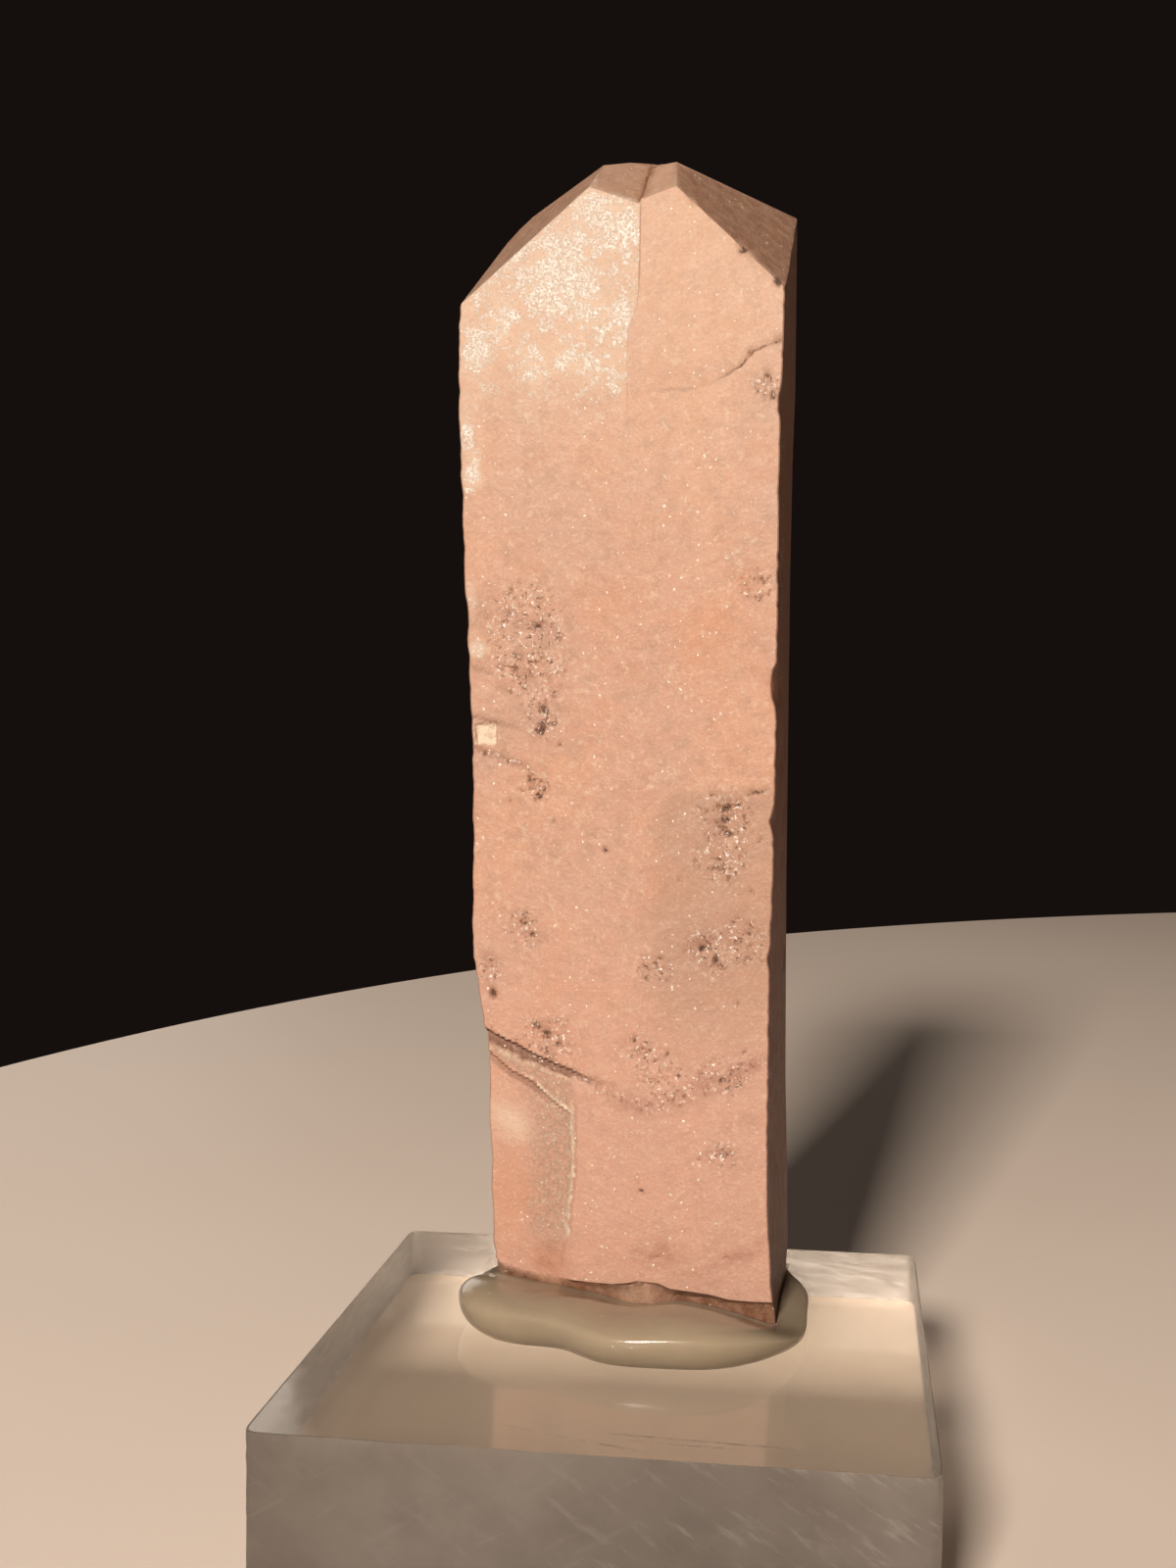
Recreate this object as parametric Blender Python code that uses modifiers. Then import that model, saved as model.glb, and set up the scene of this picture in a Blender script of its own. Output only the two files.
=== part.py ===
# Orthoclase crystal set in clear putty on a clear display block
import math

import bmesh
import bpy
from mathutils import Matrix, Vector, noise

# Display block, metres
BLOCK_SIDE = 0.040
BLOCK_HEIGHT = 0.013
BLOCK_CHAMFER = 0.00035

# Crystal placing
CRYSTAL_TURN_DEG = -2.5
CRYSTAL_THICKNESS = 0.0123
SEAM_FOOT_X = 0.00165
SEAM_LEAN = -0.0155
RIGHT_FACE_STEP = 0.00010

# Slopes of the end faces, rise per unit run
DOME_SLOPE_RIGHT = 0.964
DOME_SLOPE_LEFT = 0.840
PRISM_SLOPE_RIGHT = 0.321
PRISM_SLOPE_LEFT = 0.370
DOME_RISE_BACK = 0.66
PRISM_RISE_BACK = 0.84

# Putty pad
PUTTY_HALF_WIDTH = 0.0119
PUTTY_HALF_DEPTH = 0.0110
PUTTY_HEIGHT = 0.0038
PUTTY_CENTRE_X = 0.0002
PUTTY_CENTRE_Y = 0.0031
PUTTY_PINCH = 0.21
PUTTY_PINCH_ANGLE = math.radians(238.0)
CLEARANCE = 0.0003

MM = 0.001


# Scene and collections

def clearScene():
    for obj in list(bpy.data.objects):
        bpy.data.objects.remove(obj, do_unlink=True)


def makeCollection(name):
    group = bpy.data.collections.new(name)
    bpy.context.scene.collection.children.link(group)
    return group


def makeObject(name, bm, group):
    mesh = bpy.data.meshes.new(name)
    bm.to_mesh(mesh)
    bm.free()
    obj = bpy.data.objects.new(name, mesh)
    group.objects.link(obj)
    return obj


def makeCutter(name, bm):
    obj = makeObject(name, bm, cutterGroup)
    obj.hide_render = True
    obj.display_type = 'WIRE'
    return obj


def addBoolean(obj, cutter, operation):
    mod = obj.modifiers.new(cutter.name, 'BOOLEAN')
    mod.operation = operation
    mod.solver = 'EXACT'
    mod.object = cutter


def makeMaterial(name, colour, roughness, transmission, ior):
    mat = bpy.data.materials.new(name)
    mat.use_nodes = True
    shader = mat.node_tree.nodes["Principled BSDF"]
    shader.inputs["Base Color"].default_value = (colour[0], colour[1], colour[2], 1.0)
    shader.inputs["Roughness"].default_value = roughness
    shader.inputs["Transmission Weight"].default_value = transmission
    shader.inputs["IOR"].default_value = ior
    mat.diffuse_color = (colour[0], colour[1], colour[2], 1.0)
    return mat


# Crystal frame: u to the right, v back from the front face, z up from the block's top

turn = Matrix.Rotation(math.radians(CRYSTAL_TURN_DEG), 4, 'Z')
place = Matrix.Translation((0.0, 0.0, BLOCK_HEIGHT)) @ turn


def heightPlane(point, slopeU, slopeV):
    """Plane through a point, falling by slopeU to the right and slopeV to the back."""
    return (Vector(point) * MM, Vector((slopeU, slopeV, 1.0)))


def sidePlane(pointLow, pointHigh, sign):
    """Upright plane through two (u, z) points; sign is the side that it faces."""
    du = pointHigh[0] - pointLow[0]
    dz = pointHigh[1] - pointLow[1]
    return (Vector((pointLow[0], 0.0, pointLow[1])) * MM, Vector((dz * sign, 0.0, -du * sign)))


def convexSolid(planes, low, high):
    """Cut a box down by planes, closing each cut."""
    bm = bmesh.new()
    bmesh.ops.create_cube(bm, size=1.0)
    size = (Vector(high) - Vector(low)) * MM
    middle = (Vector(high) + Vector(low)) * 0.5 * MM
    bmesh.ops.scale(bm, vec=size, verts=bm.verts)
    bmesh.ops.translate(bm, vec=middle, verts=bm.verts)
    for point, normal in planes:
        parts = list(bm.verts) + list(bm.edges) + list(bm.faces)
        cut = bmesh.ops.bisect_plane(bm, geom=parts, dist=1e-7, plane_co=point,
                                     plane_no=normal.normalized(), clear_outer=True)
        rim = [e for e in cut["geom_cut"] if isinstance(e, bmesh.types.BMEdge)]
        if rim:
            bmesh.ops.contextual_create(bm, geom=rim)
    bmesh.ops.recalc_face_normals(bm, faces=bm.faces)
    return bm


def prismAlongV(outline, vFront, vBack, floorTilt=0.0, floorU=0.0):
    """Closed prism whose (u, z) outline is swept back to a floor that may tilt along u."""
    bm = bmesh.new()
    verts = [bm.verts.new((u * MM, vFront * MM, z * MM)) for u, z in outline]
    face = bm.faces.new(verts)
    grown = bmesh.ops.extrude_face_region(bm, geom=[face])
    moved = [v for v in grown["geom"] if isinstance(v, bmesh.types.BMVert)]
    for vert in moved:
        vert.co.y = (vBack + floorTilt * (vert.co.x / MM - floorU)) * MM
    bmesh.ops.recalc_face_normals(bm, faces=bm.faces)
    return bm


def addBlob(bm, centre, radii, tilt, rings, rough, seed):
    """Add a rounded rough lump, used for pits and for the broken foot."""
    made = bmesh.ops.create_icosphere(bm, subdivisions=rings, radius=1.0)
    spin = Matrix.Rotation(math.radians(tilt), 3, 'Y')
    for vert in made["verts"]:
        wave = noise.noise(vert.co * 1.7 + Vector((seed * 3.1, seed * 1.7, 0.0)))
        grown = vert.co * (1.0 + rough * wave)
        shaped = Vector((grown.x * radii[0], grown.y * radii[1], grown.z * radii[2]))
        vert.co = (spin @ shaped + Vector(centre)) * MM


clearScene()
mainGroup = makeCollection("orthoclase_crystal")
cutterGroup = makeCollection("cutters")
cutterGroup.hide_render = True

# Two grown-together halves of the crystal, meeting on an upright seam

back = CRYSTAL_THICKNESS / MM
backPlane = (Vector((0.0, back, 0.0)) * MM, Vector((0.0, 1.0, 0.0)))
seamLow = (SEAM_FOOT_X / MM, 0.0)
seamHigh = (SEAM_FOOT_X / MM + SEAM_LEAN * 80.0, 80.0)
seamPast = 0.04

leftPlanes = [
    (Vector((0.0, 0.0, 0.0)), Vector((-0.006, -1.0, 0.0))),
    backPlane,
    sidePlane((-10.62, 26.0), (-11.90, 64.0), -1.0),
    sidePlane((-11.86, 60.0), (-11.72, 70.0), -1.0),
    sidePlane((seamLow[0] + seamPast, 0.0), (seamHigh[0] + seamPast, 80.0), 1.0),
    heightPlane((0.44, 0.0, 75.40), PRISM_SLOPE_LEFT, -PRISM_RISE_BACK),
    heightPlane((-2.99, 0.0, 76.67), -DOME_SLOPE_LEFT, -DOME_RISE_BACK),
    heightPlane((-0.10, 5.0, 79.50), -0.293, 0.004),
    (Vector((-9.3, 7.7, 76.8)) * MM, Vector((-0.86, 0.1, 0.45))),
    (Vector((-11.60, 1.0, 70.1)) * MM, Vector((-2.10, 0.1, 0.45))),
    heightPlane((-6.8, 10.4, 77.0), -DOME_SLOPE_LEFT, DOME_RISE_BACK),
    heightPlane((-0.10, 9.3, 79.3), PRISM_SLOPE_LEFT, PRISM_RISE_BACK),
]
rightPlanes = [
    (Vector((0.0, -RIGHT_FACE_STEP / MM, 0.0)) * MM, Vector((0.004, -1.0, 0.0))),
    (Vector((0.0, back - 0.12, 0.0)) * MM, Vector((0.004, 1.0, 0.0))),
    sidePlane((10.30, 0.0), (10.35, 70.0), 1.0),
    sidePlane(seamLow, seamHigh, -1.0),
    heightPlane((2.85, 0.0, 76.49), -PRISM_SLOPE_RIGHT, -PRISM_RISE_BACK),
    heightPlane((2.85, 0.0, 76.49), DOME_SLOPE_RIGHT, -DOME_RISE_BACK),
    heightPlane((-0.10, 5.0, 79.50), 0.244, -0.018),
    heightPlane((9.8, 11.6, 77.2), DOME_SLOPE_RIGHT, DOME_RISE_BACK),
    heightPlane((0.60, 9.6, 79.3), -PRISM_SLOPE_RIGHT, PRISM_RISE_BACK),
]

crystal = makeObject("crystal", convexSolid(leftPlanes, (-16, -4, -2), (8, 20, 84)), mainGroup)
rightHalf = makeCutter("right_half", convexSolid(rightPlanes, (-4, -4, -2), (16, 20, 84)))
addBoolean(crystal, rightHalf, 'UNION')

# Lower left side steps in below a slanting shoulder

leftStep = prismAlongV([(-14.0, 25.6), (-10.62, 25.4), (-9.95, 22.4), (-9.72, 19.8),
                        (-9.55, 9.0), (-9.42, 3.0), (-9.42, -3.0), (-14.0, -3.0)], -3.0, 16.0)
addBoolean(crystal, makeCutter("left_step", leftStep), 'DIFFERENCE')

# Right side: slim in the middle, flaring a little at the foot

rightTrim = prismAlongV([(14.0, 84.0), (10.20, 84.0), (10.05, 69.5), (9.80, 50.0), (9.72, 38.0),
                         (9.50, 25.0), (9.44, 14.0), (9.55, 8.0), (9.80, 4.0), (10.08, 1.0),
                         (10.08, -3.0), (14.0, -3.0)], -3.0, 16.0)
addBoolean(crystal, makeCutter("right_trim", rightTrim), 'DIFFERENCE')

# Growth ledges low on the left of the front face

upperLedge = prismAlongV([(-11.5, 20.8), (-9.7, 20.1), (-6.2, 18.9), (-1.9, 17.0), (-2.1, 15.6),
                          (-2.6, 13.0), (-2.4, 8.5), (-2.9, 4.0), (-2.9, -3.0), (-11.5, -3.0)],
                         -2.0, 0.26, -0.034, -9.5)
addBoolean(crystal, makeCutter("upper_ledge", upperLedge), 'DIFFERENCE')
lowerLedge = prismAlongV([(-11.5, 19.6), (-9.5, 18.8), (-6.7, 16.75), (-3.75, 14.5),
                          (-3.70, 9.7), (-4.1, 8.4), (-4.15, 6.3), (-4.6, 3.0), (-4.6, -3.0),
                          (-11.5, -3.0)], -2.0, 0.42)
addBoolean(crystal, makeCutter("lower_ledge", lowerLedge), 'DIFFERENCE')

# Low slab standing off the left half, with a bright cleavage step beside it

slabLedge = prismAlongV([(-12.5, 41.6), (-10.9, 41.2), (-9.2, 41.3), (-9.1, 39.7), (-7.0, 38.2),
                         (-9.4, 38.8), (-12.5, 38.9)], -2.0, 0.30)
addBoolean(crystal, makeCutter("slab_ledge", slabLedge), 'DIFFERENCE')

# Crack that runs across the right half

crackTop = [(10.6, 66.35), (9.68, 66.25), (7.84, 65.75), (7.2, 64.95), (6.44, 64.2), (4.76, 63.42),
            (2.6, 63.25), (0.5, 63.2)]
crackBottom = [(0.5, 62.95), (2.6, 62.95), (4.76, 63.05), (6.44, 63.8), (7.2, 64.55), (7.84, 65.4),
               (9.68, 65.85), (10.6, 65.9)]
addBoolean(crystal, makeCutter("crack", prismAlongV(crackTop + crackBottom, -2.0, 0.14)), 'DIFFERENCE')

# Chips on the edges: centre, radii, tilt

edgeChips = [
    ((10.05, -0.30, 43.8), (0.75, 0.85, 1.9), 6.0),
    ((10.15, -0.35, 37.2), (0.62, 0.80, 1.1), -8.0),
    ((9.95, -0.35, 62.3), (0.70, 0.80, 1.3), 14.0),
    ((10.05, -0.25, 25.6), (0.55, 0.70, 1.5), 4.0),
    ((9.15, -0.30, 71.0), (0.75, 0.75, 0.45), 42.0),
    ((-11.55, -0.25, 63.9), (0.50, 0.60, 0.9), -4.0),
    ((-11.55, -0.30, 55.0), (0.50, 0.60, 1.2), -6.0),
    ((-10.05, -0.10, 22.6), (0.85, 0.60, 0.45), 12.0),
    ((-9.65, 0.10, 12.4), (0.50, 0.60, 1.0), -6.0),
]
bm = bmesh.new()
for index, (centre, radii, tilt) in enumerate(edgeChips):
    addBlob(bm, centre, radii, tilt, 2, 0.30, index + 1)
addBoolean(crystal, makeCutter("edge_chips", bm), 'DIFFERENCE')

# Pits in the front face: centre (u, z), radii across and up, depth, tilt

facePits = [
    (-5.92, 47.7, 0.34, 0.30, 0.26, 0.0), (-5.05, 46.8, 0.40, 0.30, 0.28, 20.0),
    (-6.09, 41.9, 0.22, 0.45, 0.30, 0.0), (-6.16, 40.5, 0.26, 0.46, 0.34, 10.0),
    (-4.87, 39.6, 0.26, 0.30, 0.24, 0.0), (-6.21, 36.7, 0.30, 0.55, 0.34, -8.0),
    (-8.31, 35.7, 0.28, 0.28, 0.22, 0.0), (-8.30, 49.6, 0.70, 0.32, 0.16, 25.0),
    (-6.60, 48.6, 0.55, 0.26, 0.16, -15.0), (7.32, 50.7, 0.36, 0.24, 0.20, 0.0),
    (8.60, 49.3, 0.36, 0.26, 0.22, 0.0), (5.35, 36.4, 0.34, 0.26, 0.30, 0.0),
    (6.30, 34.9, 0.42, 0.28, 0.32, -30.0), (7.50, 33.6, 0.36, 0.30, 0.30, 0.0),
    (-1.61, 32.6, 0.26, 0.34, 0.26, 0.0), (-5.39, 34.5, 0.34, 0.24, 0.22, 0.0),
    (-7.85, 27.8, 0.40, 0.26, 0.26, -20.0), (-6.70, 26.6, 0.42, 0.26, 0.26, -25.0),
    (4.30, 26.7, 0.40, 0.30, 0.30, -30.0), (5.70, 25.3, 0.50, 0.28, 0.30, -30.0),
    (7.30, 27.2, 0.36, 0.24, 0.24, 0.0), (1.90, 24.6, 0.34, 0.24, 0.24, 0.0),
    (-9.20, 22.8, 0.34, 0.50, 0.40, 10.0), (-7.10, 21.2, 0.42, 0.30, 0.30, 0.0),
    (-5.60, 20.3, 0.50, 0.26, 0.26, -25.0), (-4.40, 19.4, 0.34, 0.26, 0.24, 0.0),
    (0.90, 19.4, 0.34, 0.30, 0.28, 0.0), (2.67, 19.0, 0.30, 0.22, 0.22, 0.0),
    (5.12, 18.1, 0.30, 0.22, 0.20, 0.0), (2.02, 17.1, 0.24, 0.22, 0.20, 0.0),
    (0.60, 15.4, 0.38, 0.26, 0.26, 0.0), (0.60, 9.4, 0.22, 0.22, 0.20, 0.0),
    (7.92, 19.4, 0.26, 0.22, 0.20, 0.0), (8.90, 63.9, 0.30, 0.26, 0.26, 0.0),
    (7.40, 72.3, 0.50, 0.20, 0.20, 40.0), (3.90, 6.9, 0.44, 0.20, 0.18, 0.0),
    (6.70, 5.4, 0.50, 0.22, 0.20, 10.0), (1.90, 5.2, 0.40, 0.22, 0.20, 0.0),
    (-5.50, 4.9, 0.80, 0.62, 0.40, 20.0), (-7.40, 8.2, 0.36, 0.60, 0.26, 0.0),
]
bm = bmesh.new()
for index, (u, z, wide, tall, deep, tilt) in enumerate(facePits):
    sunk = 0.42 if (u < -3.7 and z < 14.0) else 0.0
    addBlob(bm, (u, sunk - 0.05, z), (wide, deep + 0.05, tall), tilt, 2, 0.35, index + 20)
addBoolean(crystal, makeCutter("face_pits", bm), 'DIFFERENCE')

# Pits and growth hollows on the sides and the back

backPits = [
    ((-6.5, back, 58.0), (0.8, 0.30, 1.4), 12.0), ((5.5, back, 49.0), (0.9, 0.28, 0.6), -14.0),
    ((-3.4, back, 33.0), (1.2, 0.34, 0.7), 22.0), ((4.2, back, 22.0), (0.6, 0.34, 0.9), 0.0),
    ((-8.0, back, 17.0), (0.8, 0.36, 1.6), -8.0), ((7.9, back, 66.0), (0.5, 0.24, 0.9), 6.0),
    ((9.95, 5.2, 58.0), (0.18, 0.9, 0.6), 0.0), ((9.66, 8.4, 30.0), (0.20, 0.6, 1.2), 0.0),
    ((-11.2, 6.2, 44.0), (0.22, 0.9, 0.8), 0.0), ((-9.55, 7.4, 14.0), (0.22, 1.1, 0.7), 0.0),
]
bm = bmesh.new()
for index, (centre, radii, tilt) in enumerate(backPits):
    addBlob(bm, centre, radii, tilt, 2, 0.35, index + 70)
addBoolean(crystal, makeCutter("back_pits", bm), 'DIFFERENCE')

# Broken foot: a slanting break, then shell-shaped hollows under the front edge

footSlant = convexSolid([heightPlane((-9.3, 3.0, 2.4), 0.085, -0.10)], (-16, -6, -6), (16, 20, 6))
addBoolean(crystal, makeCutter("foot_slant", footSlant), 'DIFFERENCE')
footBevel = convexSolid([heightPlane((0.0, 0.0, 3.05), 0.075, 1.15)], (-16, -3, -7), (16, 20, 7))
addBoolean(crystal, makeCutter("foot_bevel", footBevel), 'DIFFERENCE')

shells = [
    ((-9.2, -2.3, 1.2), (3.6, 4.0, 4.2), 4.0),
    ((-4.1, -1.9, 0.8), (3.6, 3.6, 3.4), 0.0),
    ((0.7, -2.1, 0.9), (2.6, 3.7, 3.7), -4.0),
    ((4.6, -2.0, -0.2), (3.1, 3.6, 4.3), 4.0),
    ((9.0, -1.9, 0.0), (3.1, 3.3, 3.8), 2.0),
    ((-7.0, 13.8, -0.2), (4.6, 3.4, 4.4), 0.0),
    ((1.2, 14.6, -0.6), (4.9, 4.2, 4.2), 0.0),
    ((8.4, 14.2, -0.4), (3.4, 3.4, 3.6), 0.0),
]
for index, (centre, radii, tilt) in enumerate(shells):
    bm = bmesh.new()
    addBlob(bm, centre, radii, tilt, 3, 0.16, index + 40)
    addBoolean(crystal, makeCutter("foot_shell_%d" % (index + 1), bm), 'DIFFERENCE')

crystal.matrix_world = place
for obj in cutterGroup.objects:
    obj.matrix_world = place

# Putty pad: a soft flattened pad with a pocket for the crystal's foot

bm = bmesh.new()
bmesh.ops.create_uvsphere(bm, u_segments=64, v_segments=32, radius=1.0)
for vert in bm.verts:
    angle = math.atan2(vert.co.y, vert.co.x)
    level = math.hypot(vert.co.x, vert.co.y)
    across = abs(math.cos(angle) / PUTTY_HALF_WIDTH) ** 3 + abs(math.sin(angle) / PUTTY_HALF_DEPTH) ** 3
    away = (angle - PUTTY_PINCH_ANGLE + math.pi) % (2.0 * math.pi) - math.pi
    behind = (angle - math.radians(140.0) + math.pi) % (2.0 * math.pi) - math.pi
    reach = across ** (-1.0 / 3.0) * (1.0 - PUTTY_PINCH * math.exp(-(away / 0.38) ** 2)
                                      - 0.05 * math.exp(-(behind / 0.50) ** 2))
    crown = math.copysign(abs(vert.co.z) ** 0.72, vert.co.z)
    x = math.cos(angle) * reach * level ** 0.88
    y = math.sin(angle) * reach * level ** 0.88
    lean = 1.0 - 0.010 * x / MM - 0.010 * y / MM
    vert.co = Vector((x, y, crown * PUTTY_HEIGHT * lean))
parts = list(bm.verts) + list(bm.edges) + list(bm.faces)
cut = bmesh.ops.bisect_plane(bm, geom=parts, dist=1e-7, plane_co=(0.0, 0.0, CLEARANCE),
                             plane_no=(0.0, 0.0, -1.0), clear_outer=True)
rim = [e for e in cut["geom_cut"] if isinstance(e, bmesh.types.BMEdge)]
bmesh.ops.contextual_create(bm, geom=rim)
bmesh.ops.recalc_face_normals(bm, faces=bm.faces)
for face in bm.faces:
    face.smooth = True
putty = makeObject("putty_pad", bm, mainGroup)
putty.location = (PUTTY_CENTRE_X, PUTTY_CENTRE_Y, BLOCK_HEIGHT)

gap = CLEARANCE / MM
pocket = convexSolid([
    (Vector((0.0, -gap - 0.1, 0.0)) * MM, Vector((0.0, -1.0, 0.0))),
    (Vector((0.0, back + gap, 0.0)) * MM, Vector((0.0, 1.0, 0.0))),
    sidePlane((-9.42 - gap, -3.0), (-9.55 - gap, 9.0), -1.0),
    sidePlane((10.08 + gap, 0.0), (9.95 + gap, 9.0), 1.0),
    (Vector((-9.3, 3.0, 2.4 - gap)) * MM, Vector((-0.085, 0.10, -1.0))),
], (-16, -6, -6), (16, 20, 12))
pocketCutter = makeCutter("foot_pocket", pocket)
pocketCutter.matrix_world = place
addBoolean(putty, pocketCutter, 'DIFFERENCE')

# Display block with small chamfers and a chipped upper front edge

bm = bmesh.new()
bmesh.ops.create_cube(bm, size=1.0)
bmesh.ops.scale(bm, vec=(BLOCK_SIDE, BLOCK_SIDE, BLOCK_HEIGHT), verts=bm.verts)
bmesh.ops.translate(bm, vec=(0.0, 0.0, BLOCK_HEIGHT * 0.5), verts=bm.verts)
block = makeObject("display_block", bm, mainGroup)
bevel = block.modifiers.new("chamfer", 'BEVEL')
bevel.width = BLOCK_CHAMFER
bevel.segments = 1
bevel.limit_method = 'ANGLE'

edgeNicks = [(-0.0182, 0.0009), (-0.0141, 0.0006), (-0.0093, 0.0008), (-0.0046, 0.0005),
             (0.0008, 0.0008), (0.0057, 0.0006), (0.0102, 0.0007), (0.0149, 0.0006),
             (0.0188, 0.0008)]
bm = bmesh.new()
for index, (x, wide) in enumerate(edgeNicks):
    centre = (x / MM, -BLOCK_SIDE * 0.5 / MM - 0.10, BLOCK_HEIGHT / MM + 0.02)
    addBlob(bm, centre, (wide / MM, 0.55, 0.40), 0.0, 2, 0.30, index + 90)
nickCutter = makeCutter("edge_nicks", bm)
addBoolean(block, nickCutter, 'DIFFERENCE')

# Materials

crystal.data.materials.append(makeMaterial("feldspar", (0.78, 0.47, 0.31), 0.55, 0.0, 1.52))
putty.data.materials.append(makeMaterial("clear_putty", (0.62, 0.52, 0.38), 0.18, 0.75, 1.50))
block.data.materials.append(makeMaterial("clear_acrylic", (0.93, 0.92, 0.89), 0.06, 0.95, 1.49))
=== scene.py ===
# Orthoclase crystal, pressed into clear putty on a clear acrylic block
from math import cos, hypot, pi, radians, sin, sqrt

import bpy
import numpy as np
from mathutils import Matrix, Vector
from mathutils.geometry import delaunay_2d_cdt


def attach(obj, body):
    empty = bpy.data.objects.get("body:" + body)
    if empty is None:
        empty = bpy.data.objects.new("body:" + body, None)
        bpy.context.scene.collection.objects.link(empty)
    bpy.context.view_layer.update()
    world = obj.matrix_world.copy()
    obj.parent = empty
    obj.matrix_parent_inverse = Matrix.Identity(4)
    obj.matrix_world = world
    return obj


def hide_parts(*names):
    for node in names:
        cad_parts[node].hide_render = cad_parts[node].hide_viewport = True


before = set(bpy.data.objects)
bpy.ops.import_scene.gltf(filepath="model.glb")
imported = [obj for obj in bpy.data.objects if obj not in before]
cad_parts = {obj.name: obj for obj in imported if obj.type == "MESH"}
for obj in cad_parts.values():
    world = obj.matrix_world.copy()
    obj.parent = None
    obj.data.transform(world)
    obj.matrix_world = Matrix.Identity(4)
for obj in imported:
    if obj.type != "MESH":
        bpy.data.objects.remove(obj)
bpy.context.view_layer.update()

mm = 0.001
blockTop = 13.0    # the block's upper face above the floor, mm
print("frame loaded")


def ramp(low, high, x):
    # 3t^2 - 2t^3, with t running from 0 at low to 1 at high
    t = np.clip((x - low) / (high - low), 0, 1)
    return t * t * (3 - 2 * t)


def bell(x, width):
    # exp(-(x / width)^2)
    return np.exp(-(x / width) ** 2)


def lattice(x, y, seed):
    # random values on a square lattice, blended between the four nearest with 3t^2 - 2t^3
    values = np.random.default_rng(seed).uniform(-1, 1, (128, 128))
    cellX, cellY = np.floor(x).astype(int), np.floor(y).astype(int)
    tx, ty = ramp(0, 1, x - cellX), ramp(0, 1, y - cellY)
    near, far = (values[cellX % 128, row % 128] * (1 - tx) + values[(cellX + 1) % 128, row % 128] * tx
                 for row in (cellY, cellY + 1))
    return near * (1 - ty) + far * ty


def layered(x, y, seed, layers=4):
    # lattice noise added at doubled frequency and halved height, layer by layer
    return sum(lattice(x * 2 ** k + 11.7 * k, y * 2 ** k + 5.3 * k, seed + k) * 0.5 ** k for k in range(layers))


def turned(x, y, degrees):
    # the direction x, y turned from x towards y
    a = radians(degrees)
    return x * cos(a) - y * sin(a), x * sin(a) + y * cos(a)


def bump2d(u, z, cu, cz, ru, rz, tilt=0):
    # exp(-r^2.4), r the distance from the centre measured in turned radii
    du, dz = turned(u - cu, z - cz, -tilt)
    return np.exp(-((du / ru) ** 2 + (dz / rz) ** 2) ** 1.2)


def addObject(name, data):
    made = bpy.data.objects.new(name, data)
    bpy.context.scene.collection.objects.link(made)
    return made


cameraSet = {
    "place": (14.019, -114.636, 54.451),    # mm
    "yaw": -8.3572, "pitch": 2.1813, "roll": 0.3006,
    "lens": 39.645,
}


def makeCamera(cs):
    # three angles turned into a frame: forward, right and up, then the roll about forward
    yaw, pitch = radians(cs["yaw"]), radians(cs["pitch"])
    forward = Vector((sin(yaw) * cos(pitch), cos(yaw) * cos(pitch), -sin(pitch)))
    right = Vector((cos(yaw), -sin(yaw), 0))
    right, up = turned(right, right.cross(forward), -cs["roll"])
    data = bpy.data.cameras.new("camera")
    data.lens = cs["lens"]
    data.sensor_width = 36
    data.clip_start = 0.005
    data.clip_end = 20
    m = Matrix((right, up, -forward)).transposed().to_4x4()
    m.translation = Vector(cs["place"]) * mm
    cam = addObject("camera", data)
    cam.matrix_world = m
    bpy.context.scene.camera = cam


makeCamera(cameraSet)
print("camera set")


def linear(screen):
    # 8-bit screen values to linear light; a socket stays as it is
    if not isinstance(screen, tuple):
        return screen
    shares = [c / 255 for c in screen]
    return tuple(c / 12.92 if c <= 0.04045 else ((c + 0.055) / 1.055) ** 2.4 for c in shares) + (1,)


class Value:
    # a socket that +, -, * and | (the larger of two) join to others through math nodes
    def __init__(self, nodes, socket):
        self.nodes, self.socket = nodes, socket

    def __add__(self, other):
        return self.nodes.math("ADD", self, other)

    def __sub__(self, other):
        return self.nodes.math("SUBTRACT", self, other)

    def __mul__(self, other):
        return self.nodes.math("MULTIPLY", self, other)

    def __or__(self, other):
        return self.nodes.math("MAXIMUM", self, other)


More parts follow.
